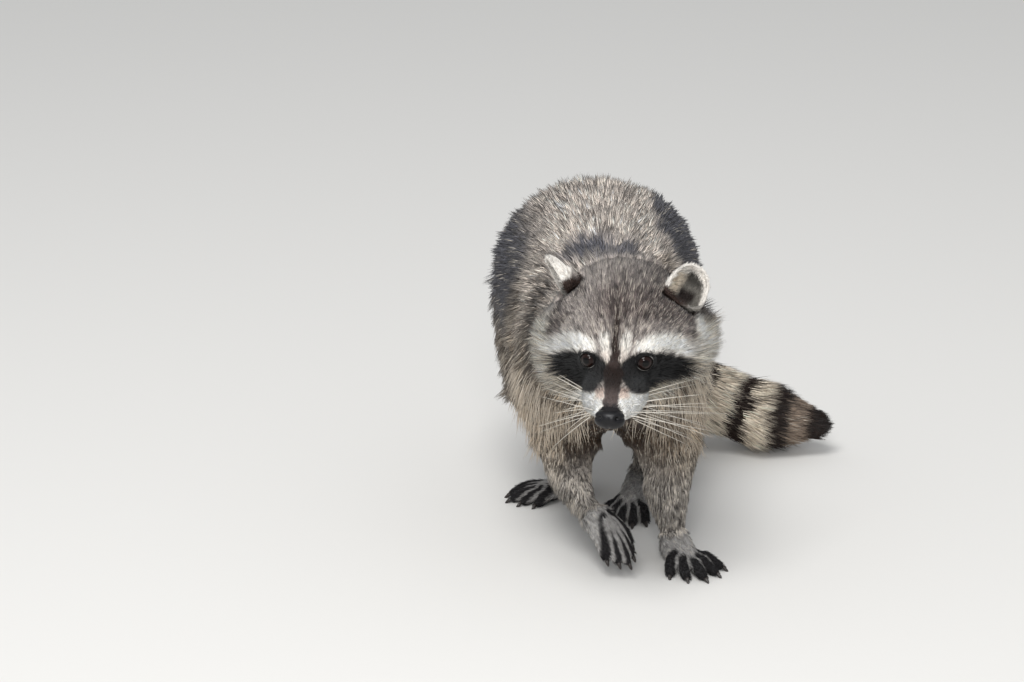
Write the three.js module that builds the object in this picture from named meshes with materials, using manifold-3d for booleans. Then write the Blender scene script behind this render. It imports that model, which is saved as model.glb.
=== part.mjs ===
// A life-size raccoon in mid-stride, as a still model.
// Millimetres, +Z up. It walks towards -Y, and +X is its own left side.
// The solids are the coat's outer surface. The animal is a smooth field of round forms that blend
// into each other. Closed skins follow that field, and thin cuts part them where its parts meet.
import * as THREE from "three";
import { mergeVertices } from "three/addons/utils/BufferGeometryUtils.js";
import Module from "manifold-3d";

// ---- driving dimensions ----
const GAP = 0.4; // every cut between two parts
const BACK_HEIGHT = 307; // floor to the top of the arched back
const TRUNK_WIDTH = 194; // across the hips, without the thighs
const SIDE = 5; // the trunk's middle plane in X, since the body bows a little to its left

const HEAD_PITCH = 35; // nose down
const HEAD_YAW = 16; // nose towards its own right
const NOSE_TIP = new THREE.Vector3(-12.6, -220, 185);
const SKULL_HALF_WIDTH = 56;
const EYE = { apart: 46, behind: 53, up: 17, r: 8.2 };
const EAR = { half_width: 20, height: 44, depth: 10, wall: 3.2 };

const TOE_R = 4.7;
const CLAW = { length: 5.5, r: 1.8 };
const TAIL_R = 37;

const CHEST_END = 6; // where the trunk parts, along Y
const LOIN_END = 72;
const MUZZLE_LENGTH = 42; // from the nose tip to the cut before the eyes
const MOUTH_DROP = 15; // mouth line under the nose tip, in the head's frame

const SPACE = 700; // side of the boxes that cut away all beyond a plane
const CRUMB = 900; // a cut leaves no part smaller than this, in cubic millimetres

const v = (x, y, z) => new THREE.Vector3(x, y, z);
const radians = THREE.MathUtils.degToRad;
const UP = v(0, 0, 1);

// ---- the field: how far a point lies outside a form, negative inside ----

// A ball of radius ra at a that changes evenly to radius rb at b.
function limb(a, b, ra, rb = ra) {
  const along = b.clone().sub(a);
  const length2 = along.lengthSq();
  const offset = v(0, 0, 0);
  return (p) => {
    offset.copy(p).sub(a);
    const t = THREE.MathUtils.clamp(offset.dot(along) / length2, 0, 1);
    return offset.addScaledVector(along, -t).length() - THREE.MathUtils.lerp(ra, rb, t);
  };
}

// An ellipsoid.
function lobe(centre, radii) {
  const q = v(0, 0, 0);
  return (p) => {
    q.copy(p).sub(centre).divide(radii);
    const k = q.length();
    return (k * (k - 1)) / Math.max(q.divide(radii).length(), 1e-6);
  };
}

// Forms that swell into each other over about k millimetres.
const blend = (k, ...forms) => (p) =>
  forms.reduce((near, form) => {
    const d = form(p);
    const h = Math.max(k - Math.abs(near - d), 0);
    return Math.min(near, d) - (h * h) / (4 * k);
  }, 1e6);

// One round form through stations, each [point, radius].
const chain = (k, ...stations) =>
  blend(k, ...stations.slice(1).map(([b, rb], i) => limb(stations[i][0], b, stations[i][1], rb)));

const grown = (form, by) => (p) => form(p) - by;
const both = (...forms) => (p) => Math.max(...forms.map((form) => form(p)));

// A form given in the coordinates of a placed frame.
function placed(frame, form) {
  const back = frame.clone().invert();
  const q = v(0, 0, 0);
  return (p) => form(q.copy(p).applyMatrix4(back));
}

// A frame at origin whose Y axis points forward and whose Z axis is as near up as it can be.
function frameAt(origin, forward, up) {
  const y = forward.clone().normalize();
  const lookout = Math.abs(y.dot(up)) > 0.999 ? v(0, 1, 0) : up;
  const x = y.clone().cross(lookout).normalize();
  return new THREE.Matrix4().makeBasis(x, y, x.clone().cross(y)).setPosition(origin);
}

// ---- meshing: a closed skin round a path, each vertex pushed out to the field's surface ----

// How far along a ray the field's surface lies, or reach where it lies further.
function surfacePoint(from, direction, field, reach) {
  const at = (d) => v(0, 0, 0).copy(from).addScaledVector(direction, d);
  let near = 0;
  let far = 0.5;
  while (far < reach && field(at(far)) < 0) {
    near = far;
    far += Math.max(0.5, -0.7 * field(at(far)));
  }
  if (far >= reach) return at(reach);
  for (let i = 0; i < 14; i++) {
    const middle = (near + far) / 2;
    if (field(at(middle)) < 0) near = middle;
    else far = middle;
  }
  return at(near);
}

// Rings of rays round the path, and caps of leaning rays that close it at both ends.
function wrap(path, field, { rings, sides, reach, caps = 2 }) {
  const curve = new THREE.CatmullRomCurve3(path, false, "centripetal");
  const leans = Array.from({ length: caps }, (_, i) => (Math.PI / 2) * ((i + 1) / (caps + 1)));
  const frames = curve.computeFrenetFrames(rings, false);
  const positions = [];
  const push = (t, direction) => {
    const centre = curve.getPointAt(t);
    positions.push(...surfacePoint(centre, direction, field, reach).toArray());
  };
  const ring = (i, lean) => {
    for (let j = 0; j < sides; j++) {
      const angle = (2 * Math.PI * j) / sides;
      const out = v(0, 0, 0)
        .addScaledVector(frames.normals[i], Math.cos(angle) * Math.cos(lean))
        .addScaledVector(frames.binormals[i], Math.sin(angle) * Math.cos(lean))
        .addScaledVector(frames.tangents[i], Math.sin(lean));
      push(i / rings, out);
    }
  };
  push(0, frames.tangents[0].clone().negate());
  [...leans].reverse().forEach((lean) => ring(0, -lean));
  for (let i = 0; i <= rings; i++) ring(i, 0);
  leans.forEach((lean) => ring(rings, lean));
  push(1, frames.tangents[rings]);
  return tubeGeometry(positions, sides);
}

// The faces between a first pole, rings of equal count and a last pole.
function tubeGeometry(positions, sides) {
  const last = positions.length / 3 - 1;
  const ringCount = (last - 1) / sides;
  const index = [];
  for (let j = 0; j < sides; j++) {
    const k = (j + 1) % sides;
    index.push(0, 1 + k, 1 + j);
    for (let i = 0; i < ringCount - 1; i++) {
      const a = 1 + i * sides;
      const b = a + sides;
      index.push(a + j, a + k, b + k, a + j, b + k, b + j);
    }
    const end = 1 + (ringCount - 1) * sides;
    index.push(end + j, end + k, last);
  }
  return new THREE.BufferGeometry()
    .setAttribute("position", new THREE.Float32BufferAttribute(positions, 3))
    .setIndex(index);
}

// ---- solids ----
const wasm = await Module();
wasm.setup();

function solidOf(geometry, frame = new THREE.Matrix4()) {
  const bare = geometry.clone().applyMatrix4(frame);
  bare.deleteAttribute("normal");
  bare.deleteAttribute("uv");
  const merged = mergeVertices(bare, 1e-3);
  return new wasm.Manifold(
    new wasm.Mesh({
      numProp: 3,
      vertProperties: merged.attributes.position.array,
      triVerts: new Uint32Array(merged.index.array),
    }),
  );
}

function geometryOf(solid) {
  const { vertProperties, triVerts } = solid.getMesh();
  return new THREE.BufferGeometry()
    .setAttribute("position", new THREE.BufferAttribute(vertProperties, 3))
    .setIndex(new THREE.BufferAttribute(triVerts, 1));
}

const skin = (path, field, mesh) => solidOf(wrap(path, field, mesh));
const join = (...solids) => solids.reduce((a, b) => a.add(b));
const cut = (solid, ...cutters) => cutters.reduce((a, b) => a.subtract(b), solid);

// A thin slab: where it is, the way its broad face looks, its width and height, and which way is up.
function slab(at, facing, width, height = width, up = UP) {
  return solidOf(new THREE.BoxGeometry(width, GAP, height), frameAt(at, facing, up));
}

// All the space ahead of a plane and half a gap before it.
function ahead(at, facing) {
  const middle = at.clone().addScaledVector(facing.clone().normalize(), (SPACE - GAP) / 2);
  return solidOf(new THREE.BoxGeometry(SPACE, SPACE, SPACE), frameAt(middle, facing, UP));
}
const behind = (at, facing) => ahead(at, facing.clone().negate());

const middleOf = (body) => {
  const { min, max } = body.boundingBox();
  return v(...min).add(v(...max)).multiplyScalar(0.5);
};
const largest = (solid) => solid.decompose().reduce((a, b) => (b.volume() > a.volume() ? b : a));

// The bodies that cutters leave of a solid, each picked by a point near its middle.
function partsOf(solid, cutters, seeds) {
  const bodies = cut(solid, ...cutters).decompose().filter((body) => body.volume() > CRUMB);
  const nearest = (seed) =>
    bodies.reduce((a, b) => (middleOf(b).distanceTo(seed) < middleOf(a).distanceTo(seed) ? b : a));
  return Object.entries(seeds).map(([name, seed]) => [name, nearest(seed)]);
}

// ---- trunk ----
const BACK_R = TRUNK_WIDTH / 2;
const chest = v(SIDE, -84, 186);
const shoulders = v(SIDE, -34, 180);
const loin = v(SIDE, 34, 190);
const hips = v(SIDE, 100, BACK_HEIGHT - BACK_R);
const rump = v(SIDE + 3, 152, 186);
const trunk = chain(12, [chest, 54], [shoulders, 77], [loin, 88], [hips, BACK_R - 3], [rump, 82]);

// ---- head: its frame has its origin at the nose tip, Y forward and Z up ----
const noseDown = radians(HEAD_PITCH);
const noseAside = radians(HEAD_YAW);
const headForward = v(
  -Math.sin(noseAside) * Math.cos(noseDown),
  -Math.cos(noseAside) * Math.cos(noseDown),
  -Math.sin(noseDown),
);
const headFrame = frameAt(NOSE_TIP, headForward, UP);
const headUp = UP.clone().transformDirection(headFrame);
// The frame's X looks to the animal's right, so a point to its left has a negative X there.
const inHead = (left, behind, up) => v(-left, -behind, up);
const headPoint = (left, behind, up) => inHead(left, behind, up).applyMatrix4(headFrame);
const pairOf = (make) => [make(1), make(-1)];

const cranium = lobe(inHead(0, 106, 12), v(SKULL_HALF_WIDTH, 54, 43));
const muzzle = chain(
  6,
  [inHead(0, 12, -5), 11.5],
  [inHead(0, 36, -3), 17.5],
  [inHead(0, 58, 2), 26],
  [inHead(0, 90, 4), 38],
);
const chin = limb(inHead(0, 20, -14), inHead(0, 80, -26), 7.5, 22);
const whiskerPads = pairOf((s) => lobe(inHead(s * 15, 30, -8), v(15, 19, 12)));
const temples = pairOf((s) => limb(inHead(s * 22, 66, 2), inHead(s * 44, 100, 2), 17, 27));
const cheeks = pairOf((s) => lobe(inHead(s * 45, 100, -14), v(31, 38, 30)));
const brows = pairOf((s) => lobe(inHead(s * 24, 72, 23), v(18, 20, 12)));
const earRoots = pairOf((s) => limb(inHead(s * 36, 108, 18), inHead(s * 50, 116, 22), 22, 14));
const headField = placed(
  headFrame,
  blend(12, cranium, muzzle, chin, ...whiskerPads, ...temples, ...cheeks, ...brows, ...earRoots),
);
const nape = headPoint(0, 128, 0);
const neck = chain(16, [nape, 50], [v(2, -98, 208), 60], [shoulders, 74]);
// The arch between the fore legs opens the underside of the chest as far up as the nose's height.
const arch = limb(v(SIDE - 3, -150, 126), v(SIDE - 3, 30, 64), 22, 22);
const wholeBody = blend(20, trunk, neck, headField);
const body = both(wholeBody, (p) => -arch(p));

// ---- legs, each a chain of stations from the shoulder or hip down to the wrist or ankle ----
const legs = {
  fore_left: [
    [v(46, -50, 172), 43],
    [v(60, -36, 126), 33],
    [v(55, -58, 88), 26],
    [v(57, -70, 55), 15],
    [v(61, -77, 28), 10.5],
  ],
  fore_right: [
    [v(-34, -46, 172), 43],
    [v(-45, -24, 122), 33],
    [v(-33, -50, 84), 23],
    [v(-22, -72, 63), 15.5],
    [v(-13, -90, 51), 11.5],
  ],
  hind_left: [
    [v(60, 126, 180), 50],
    [v(70, 76, 130), 42],
    [v(66, 72, 82), 27],
    [v(60, 90, 46), 15.5],
    [v(56, 92, 24), 14],
  ],
  hind_right: [
    [v(-38, 134, 180), 49],
    [v(-46, 96, 132), 41],
    [v(-32, 94, 80), 27],
    [v(-12, 108, 46), 15.5],
    [v(-6, 102, 24), 14],
  ],
};
const LEG_MESH = { rings: 7, sides: 11, reach: 74 };
const LIMB_CUT = 0.45; // where a leg parts into its upper and lower lengths, as a share of it
const LEG_MARGIN = 6; // how far the cut round a leg stands off the leg's own form
const MIDLINE_WALL = 9; // from the midline to the cut round a leg
const UPPER_LENGTHS = 1; // lengths of a leg that lie in the trunk

const legPath = (stations) => stations.map(([point]) => point);
const legField = (stations) => chain(12, ...stations);
const legSkin = (stations) =>
  skin(legPath(stations), blend(22, wholeBody, legField(stations)), LEG_MESH);

// The outline of two circles and their common tangents.
function taperedOutline([y1, z1, r1], [y2, z2, r2]) {
  const heading = Math.atan2(z2 - z1, y2 - y1);
  const lean = Math.acos((r1 - r2) / Math.hypot(y2 - y1, z2 - z1));
  return new THREE.Shape()
    .absarc(y2, z2, r2, heading - lean, heading + lean)
    .absarc(y1, z1, r1, heading + lean, heading - lean + 2 * Math.PI);
}

// The space that a leg takes out of the trunk: its outline from the side, carried straight through
// the flank. Its upper lengths stop at a wall beside the midline.
function legSpace(stations, by) {
  const side = Math.sign(stations[0][0].x - SIDE);
  const toYZ = new THREE.Matrix4().makeBasis(v(0, 1, 0), v(0, 0, 1), v(1, 0, 0));
  const lengths = stations.slice(1).map((station, i) => {
    const pair = [stations[i], station].map(([p, r]) => [p.y, p.z, r + LEG_MARGIN + by]);
    const reaches = [stations[i], station].map(([p, r]) => side * (p.x - SIDE) - r);
    const inner = i < UPPER_LENGTHS ? MIDLINE_WALL - by : Math.min(...reaches) - LEG_MARGIN - by;
    const solid = new THREE.ExtrudeGeometry(taperedOutline(...pair), {
      depth: SPACE,
      curveSegments: 7,
      bevelEnabled: false,
    });
    return solidOf(solid, toYZ.clone().setPosition(SIDE + (side > 0 ? inner : -inner - SPACE), 0, 0));
  });
  return join(...lengths);
}

// ---- paws: a sole with five toes, in a frame whose Y runs to the toes and Z to the knuckles ----
// heel and knuckles lie along Y, sole is half the paw's thickness, and toes are shares of toe_length.
const FORE_PAW = { heel: -8, knuckles: 22, sole: 10, toe_length: 25, toes: [0.62, 0.96, 1.08, 1, 0.8] };
const HIND_PAW = { heel: -36, knuckles: 24, sole: 12, toe_length: 25, toes: [0.7, 0.94, 1.02, 0.98, 0.82] };
const ANKLE_BACK = -14; // the furthest the ankle's root goes back from the paw's origin
const TOE_PITCH = 5.4; // between the roots of two toes
const TOE_STEP = 3; // each toe away from the middle one starts this much further back
const TOE_ROOT = 8; // length of a toe that lies inside the paw
const TOE_ARCH = 2.4;
const TOE_MESH = { rings: 2, sides: 5, reach: 9, caps: 1 };
const SOLE_MESH = { rings: 3, sides: 8, reach: 30, caps: 1 };
const ANKLE_MESH = { rings: 1, sides: 8, reach: 26, caps: 1 };
const CLAW_MESH = { rings: 2, sides: 5, reach: 4, caps: 0 };

const heading = (outward, side) =>
  v(side * Math.sin(radians(outward)), -Math.cos(radians(outward)), 0);

// side is 1 on the animal's left and -1 on its right, spread is the angle between two toes, and
// droop is how far a toe's end hangs under its root.
const feet = {
  fore_left: {
    paw: FORE_PAW,
    side: 1,
    spread: 15,
    droop: 4.2,
    frame: frameAt(v(65, -86, 0), heading(21, 1), UP),
  },
  fore_right: {
    paw: FORE_PAW,
    side: -1,
    spread: 4,
    droop: 7,
    frame: frameAt(v(-9, -86, 39), v(0.46, -0.74, -0.42), v(0.1, -0.5, 0.8)),
  },
  hind_left: {
    paw: HIND_PAW,
    side: 1,
    spread: 11,
    droop: 4.2,
    frame: frameAt(v(39, 52, 0), heading(-21, 1), UP),
  },
  hind_right: {
    paw: HIND_PAW,
    side: -1,
    spread: 11,
    droop: 4.2,
    frame: frameAt(v(-23, 91, 0), heading(72, -1), UP),
  },
};

// A toe from its knuckle: out, over a low arch and down. The first toe is the inner one.
function toePath({ paw, side, spread, droop, frame }, i) {
  const fan = side * ((paw.toes.length - 1) / 2 - i);
  const turn = radians(fan * spread);
  const length = paw.toe_length * paw.toes[i] + TOE_ROOT;
  const root = v(fan * TOE_PITCH, paw.knuckles - TOE_STEP * Math.abs(fan) - TOE_ROOT, TOE_R + 3);
  const out = v(Math.sin(turn), Math.cos(turn), 0);
  return [0, 0.5, 1].map((t) =>
    root
      .clone()
      .addScaledVector(out, length * t)
      .add(v(0, 0, TOE_ARCH * Math.sin(Math.PI * t) - droop * t * t))
      .applyMatrix4(frame),
  );
}

function toeSkin(foot, i) {
  const path = toePath(foot, i);
  return skin(path, chain(2, ...path.map((p, k) => [p, TOE_R - 0.3 * k])), TOE_MESH);
}

function pawSolid(foot, [ankle, ankleR]) {
  const { paw, frame } = foot;
  const z = paw.sole;
  const underAnkle = v(0, Math.max(paw.heel, ANKLE_BACK), z + 1);
  const localAnkle = ankle.clone().applyMatrix4(frame.clone().invert());
  const flesh = blend(
    8,
    limb(v(0, paw.heel, z - 1), v(0, paw.knuckles - 8, z - 2), z),
    lobe(v(0, paw.knuckles - 8, TOE_R + 2), v(16, 14, 8)),
    limb(localAnkle, underAnkle, ankleR, z),
  );
  const spine = [v(0, paw.heel + 2, z), v(0, 4, z), v(0, paw.knuckles - 4, z)];
  const inPlace = (points) => points.map((p) => p.clone().applyMatrix4(frame));
  const field = placed(frame, flesh);
  return join(
    skin(inPlace(spine), field, SOLE_MESH),
    skin(inPlace([localAnkle, underAnkle]), field, ANKLE_MESH),
    ...paw.toes.map((_, i) => toeSkin(foot, i)),
  );
}

// A claw: a short cone that starts just past the toe's end and curves down.
function clawSolid(foot, i) {
  const [, middle, tip] = toePath(foot, i);
  const down = v(0, 0, -1).transformDirection(foot.frame);
  const out = tip.clone().sub(middle).normalize();
  const path = [0, 0.5, 1].map((t) =>
    tip
      .clone()
      .addScaledVector(out, TOE_R + CLAW.length * t)
      .addScaledVector(down, 0.6 * t * t - 1),
  );
  const stations = path.map((p, k) => [p, CLAW.r * (1 - 0.36 * k)]);
  const clear = both(chain(1, ...stations), (p) => TOE_R - 0.2 - p.distanceTo(tip));
  return skin(path, clear, CLAW_MESH);
}

// ---- tail: it drops from the rump, meets the floor and curls round to the left side ----
const tailStations = [
  [v(SIDE + 6, 196, 166), 28],
  [v(34, 222, 124), 31],
  [v(80, 230, 80), 34],
  [v(130, 217, 50), TAIL_R],
  [v(180, 198, TAIL_R - 1), TAIL_R],
  [v(224, 186, 31), 26],
];
const tailPath = tailStations.map(([point]) => point);
const tailField = chain(8, ...tailStations);
const TAIL_MESH = { rings: 11, sides: 12, reach: 60 };
const TAIL_START = 0.2; // shares of the tail's length: where it leaves the rump, and each cut
const TAIL_CUTS = [0.36, 0.52, 0.68, 0.84];

// ---- ears: a rounded shell, hollow in front ----
const earPlaces = {
  ear_left: { side: 1, at: headPoint(56, 116, 41), turn: 14, tilt: 26 },
  ear_right: { side: -1, at: headPoint(-58, 119, 43), turn: 80, tilt: 20 },
};

function earSolid({ side, at, turn, tilt }) {
  const opening = v(side * Math.sin(radians(turn)), -Math.cos(radians(turn)), 0.1);
  const up = v(side * Math.sin(radians(tilt)), 0.12, Math.cos(radians(tilt)));
  const frame = frameAt(at, opening, up);
  const ball = new THREE.SphereGeometry(1, 10, 7);
  const { half_width, height, depth, wall } = EAR;
  const shell = ball.clone().scale(half_width, depth, height / 2);
  const hollow = ball
    .clone()
    .scale(half_width - wall, depth, height / 2 - wall)
    .translate(0, depth / 2, 1);
  return cut(solidOf(shell, frame), solidOf(hollow, frame));
}

// ---- eyes and nose pad ----
const eyeCentre = (side) => headPoint((side * EYE.apart) / 2, EYE.behind, EYE.up);
const eyeBall = (side, by = 0) =>
  solidOf(
    new THREE.SphereGeometry(EYE.r + by, 10, 7),
    new THREE.Matrix4().setPosition(eyeCentre(side)),
  );
function nosePad(by = 0) {
  const upper = lobe(inHead(0, 5, 1), v(12, 7, 8));
  const lower = lobe(inHead(0, 5, -6), v(8, 5.5, 6));
  const pad = placed(headFrame, grown(blend(4, upper, lower), by));
  return skin([headPoint(0, 9, -1), headPoint(0, 3, -1)], pad, { rings: 2, sides: 12, reach: 20 });
}

// ---- the skins that follow the body's field, and the planes between them ----
const trunkSkin = (by = 0) =>
  skin([v(SIDE, -104, 184), shoulders, loin, hips, v(SIDE + 3, 176, 182)], grown(body, by),
    { rings: 11, sides: 20, reach: 112 });
const headSkin = (by = 0) =>
  skin([nape, headPoint(0, 92, 2), headPoint(0, 52, 0), headPoint(0, 15, -4)], grown(body, by),
    { rings: 12, sides: 20, reach: 98 });
const neckSkin = skin([headPoint(0, 118, 0), nape, v(3, -96, 204), shoulders], body,
  { rings: 6, sides: 20, reach: 96 });

const throat = v(0, -98, 200);
const throatFacing = v(0, -0.75, 0.65);
const skullBase = headPoint(0, 128, 0);
const skullFacing = headForward.clone().addScaledVector(headUp, 0.3);
const underJaw = headPoint(0, 70, -50);
const headSpace = (by) =>
  ahead(skullBase.clone().addScaledVector(headForward, -by), skullFacing).intersect(
    ahead(underJaw.clone().addScaledVector(headUp, -by), headUp),
  );

// ---- parts, each [name, solid, finish] ----
const floor = behind(v(0, 0, -GAP / 2), UP);
const legNames = Object.keys(legs);
const spaces = legNames.map((name) => legSpace(legs[name], GAP));

function trunkParts() {
  const trunkBody = cut(trunkSkin(), ahead(throat, throatFacing), ...spaces);
  const along = v(0, 1, 0);
  return partsOf(
    trunkBody,
    [slab(v(SIDE, CHEST_END, 200), along, 400), slab(v(SIDE, LOIN_END, 200), along, 400)],
    { chest: shoulders, loin, rump },
  );
}

function neckPart() {
  return largest(cut(neckSkin, behind(throat, throatFacing), headSpace(GAP), ...spaces));
}

// The lower jaw's space: round the chin, under the line of the mouth.
function jawSpace(by) {
  const around = placed(headFrame, both(grown(chin, 4 + by), (p) => p.z + MOUTH_DROP - by));
  return skin([headPoint(0, 20, -22), headPoint(0, 52, -28), headPoint(0, 78, -32)], around,
    { rings: 4, sides: 12, reach: 34, caps: 1 });
}

function headParts() {
  const sockets = [nosePad(GAP), eyeBall(1, GAP), eyeBall(-1, GAP)];
  const whole = cut(headSkin().intersect(headSpace(0)), behind(throat, throatFacing), ...sockets);
  const upper = cut(whole, jawSpace(GAP));
  const muzzleStart = headPoint(0, MUZZLE_LENGTH, 0);
  return [
    ["head", largest(cut(upper, ahead(muzzleStart, headForward)))],
    ["muzzle", largest(cut(upper, behind(muzzleStart, headForward)))],
    ["lower_jaw", largest(whole.intersect(jawSpace(0)))],
  ];
}

function legParts(name) {
  const stations = legs[name];
  const leg = legSkin(stations).intersect(legSpace(stations, 0));
  const curve = new THREE.CatmullRomCurve3(legPath(stations), false, "centripetal");
  const [middle, down] = [curve.getPointAt(LIMB_CUT), curve.getTangentAt(LIMB_CUT)];
  const [ankle, toPaw] = [curve.getPointAt(1), curve.getTangentAt(1)];
  const paw = cut(pawSolid(feet[name], stations.at(-1)), behind(ankle, toPaw), floor);
  return [
    [name + "_upper", largest(cut(leg, ahead(middle, down)))],
    [name + "_lower", largest(cut(leg, behind(middle, down), ahead(ankle, toPaw)))],
    [name + "_paw", largest(paw)],
  ];
}

const clawParts = (name) =>
  feet[name].paw.toes.map((_, i) => [`${name}_claw_${i + 1}`, cut(clawSolid(feet[name], i), floor)]);

function tailParts() {
  const curve = new THREE.CatmullRomCurve3(tailPath, false, "centripetal");
  const tail = cut(skin(tailPath, tailField, TAIL_MESH), trunkSkin(GAP), floor);
  const slabs = TAIL_CUTS.map((t) => slab(curve.getPointAt(t), curve.getTangentAt(t), 3 * TAIL_R));
  const ends = [TAIL_START, ...TAIL_CUTS, 1];
  const seeds = ends
    .slice(1)
    .map((end, i) => [`tail_${i + 1}`, curve.getPointAt((ends[i] + end) / 2)]);
  return partsOf(tail, slabs, Object.fromEntries(seeds));
}

function earParts() {
  const skull = headSkin(GAP);
  return Object.entries(earPlaces).map(([name, place]) => [name, largest(cut(earSolid(place), skull))]);
}

// ---- finishes ----
const finish = (color, roughness) => new THREE.MeshStandardMaterial({ color, roughness, metalness: 0 });
const greyCoat = finish("#8d857b", 0.95);
const paleCoat = finish("#d8d3cb", 0.95);
const bandCoat = finish("#b3a292", 0.95);
const darkCoat = finish("#37302d", 0.95);
const pawSkin = finish("#4a4644", 0.9);
const noseLeather = finish("#1d1d20", 0.35);
const eyeGloss = finish("#24150e", 0.08);
const horn = finish("#1f1a17", 0.5);
const FINISHES = [
  [/^eye/, eyeGloss],
  [/^nose/, noseLeather],
  [/claw/, horn],
  [/paw/, pawSkin],
  [/^(muzzle|ear|lower_jaw)/, paleCoat],
  [/^tail_[24]/, bandCoat],
  [/^tail_[35]/, darkCoat],
  [/./, greyCoat],
];

// ---- the animal, with its origin on the floor under the middle of its box ----
const animal = new THREE.Group();
const parts = [
  ...headParts(),
  ...earParts(),
  ["eye_left", eyeBall(1)],
  ["eye_right", eyeBall(-1)],
  ["nose", nosePad()],
  ["neck", neckPart()],
  ...trunkParts(),
  ...legNames.flatMap((name) => [...legParts(name), ...clawParts(name)]),
  ...tailParts(),
];
for (const [name, solid] of parts) {
  const geometry = geometryOf(largest(solidOf(geometryOf(solid))));
  const mesh = new THREE.Mesh(geometry, FINISHES.find(([names]) => names.test(name))[1]);
  mesh.name = name;
  animal.add(mesh);
}
const { min, max } = new THREE.Box3().setFromObject(animal);
animal.position.set(-(min.x + max.x) / 2, -(min.y + max.y) / 2, -min.z);

const raccoon = new THREE.Group();
raccoon.add(animal);
export default raccoon;
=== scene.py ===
"""A life-size raccoon in mid-stride: skin, a coat of mesh tufts, whiskers, eyes, nose, claws."""

from math import acos, atan2, cos, exp, pi, radians, sin, sqrt

import bmesh
import bpy
import numpy as np
from mathutils import Matrix, Vector
from mathutils.bvhtree import BVHTree
from mathutils.kdtree import KDTree


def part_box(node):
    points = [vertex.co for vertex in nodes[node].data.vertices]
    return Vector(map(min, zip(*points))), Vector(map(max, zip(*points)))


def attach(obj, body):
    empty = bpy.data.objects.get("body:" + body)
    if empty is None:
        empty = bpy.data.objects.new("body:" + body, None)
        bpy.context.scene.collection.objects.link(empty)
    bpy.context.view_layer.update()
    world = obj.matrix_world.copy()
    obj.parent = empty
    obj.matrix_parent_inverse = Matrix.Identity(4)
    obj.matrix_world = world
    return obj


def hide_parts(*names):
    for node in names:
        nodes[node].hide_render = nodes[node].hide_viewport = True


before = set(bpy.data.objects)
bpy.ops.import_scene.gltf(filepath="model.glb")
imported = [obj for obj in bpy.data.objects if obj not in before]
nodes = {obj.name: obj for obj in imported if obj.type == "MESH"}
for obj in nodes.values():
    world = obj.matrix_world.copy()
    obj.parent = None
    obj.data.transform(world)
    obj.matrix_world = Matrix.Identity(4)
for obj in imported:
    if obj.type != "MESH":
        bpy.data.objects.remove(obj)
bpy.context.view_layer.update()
MM = 0.001
rng = np.random.default_rng(11)

# ---- the head's frame: origin at the nose tip, and left, back and up in millimetres ----
HEAD_PITCH, HEAD_YAW = radians(35), radians(16)
EYE_BACK, EYE_UP, EYE_R = 53, 17, 8.2


def middle(node):
    low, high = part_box(node)
    return np.array((low + high) / 2)


def unit(vectors):
    vectors = np.asarray(vectors, float)
    return vectors / np.maximum(np.linalg.norm(vectors, axis=-1, keepdims=True), 1e-12)


def way_at(turn, down):
    """The way ahead, turned to the right and then down."""
    return np.array([-sin(turn) * cos(down), -cos(turn) * cos(down), -sin(down)])


FORWARD = way_at(HEAD_YAW, HEAD_PITCH)
LEFT = unit(np.cross([0, 0, 1], FORWARD))
TOP = np.cross(FORWARD, LEFT)
HEAD_AXES = np.array([LEFT, -FORWARD, TOP])
eye_spots = {side: middle("eye_" + side) for side in ("left", "right")}
NOSE_TIP = sum(eye_spots.values()) / 2 + (EYE_BACK * FORWARD - EYE_UP * TOP) * MM


def in_head(points):
    """Frame points as left, back and up of the nose tip, in millimetres."""
    return (np.asarray(points) - NOSE_TIP) @ HEAD_AXES.T / MM


def from_head(left, back, up):
    return NOSE_TIP + np.array([left, back, up]) * MM @ HEAD_AXES


def way_from_head(left, back, up):
    return unit(np.array([left, back, up], float) @ HEAD_AXES)


# The middle plane of the trunk, and the line that the tail follows, in the frame.
SIDE = NOSE_TIP[0] + 17.6 * MM
TAIL_LINE = NOSE_TIP + MM * np.array([
    [23.6, 416, -19], [46.6, 442, -61], [92.6, 450, -105], [142.6, 437, -135],
    [192.6, 418, -149], [236.6, 406, -154], [256.0, 400, -155],
])

# ---- colour ----


def linear(hex_colour):
    """An sRGB hex colour as linear red, green and blue."""
    s = np.array([int(hex_colour[i : i + 2], 16) / 255 for i in (1, 3, 5)])
    return np.where(s <= 0.04045, s / 12.92, ((s + 0.055) / 1.055) ** 2.4)


def smooth(edge0, edge1, x):
    t = np.clip((x - edge0) / (edge1 - edge0), 0, 1)
    return t * t * (3 - 2 * t)


def even(colour, count):
    """One colour for each of some points."""
    return np.tile(linear(colour), (count, 1))


def over(colours, colour, amount):
    """Lays a colour over others by an amount for each point."""
    return colours + (linear(colour) - colours) * np.clip(amount, 0, 1)[:, None]


def laid(colours, layers):
    """Lays (colour, amount) layers over some colours in turn."""
    for colour, amount in layers:
        colours = over(colours, colour, amount)
    return colours


def off_line(points, start, end):
    """Each point's offset from a straight line, and its share of the way along it."""
    along = end - start
    t = np.clip((points - start) @ along / (along @ along), 0, 1)
    return points - start - t[:, None] * along, t


def stroke(points, line, soft):
    """How fully each point lies in a stroke. line holds (x, y, z, radius) and soft is its edge."""
    best = np.full(len(points), 1e9)
    corners = np.array(line, float)
    for a, b in zip(corners[:-1], corners[1:]):
        off, t = off_line(points, a[:-1], b[:-1])
        best = np.minimum(best, np.linalg.norm(off, axis=1) - (a[-1] + t * (b[-1] - a[-1])))
    return smooth(soft, -soft, best)


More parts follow.
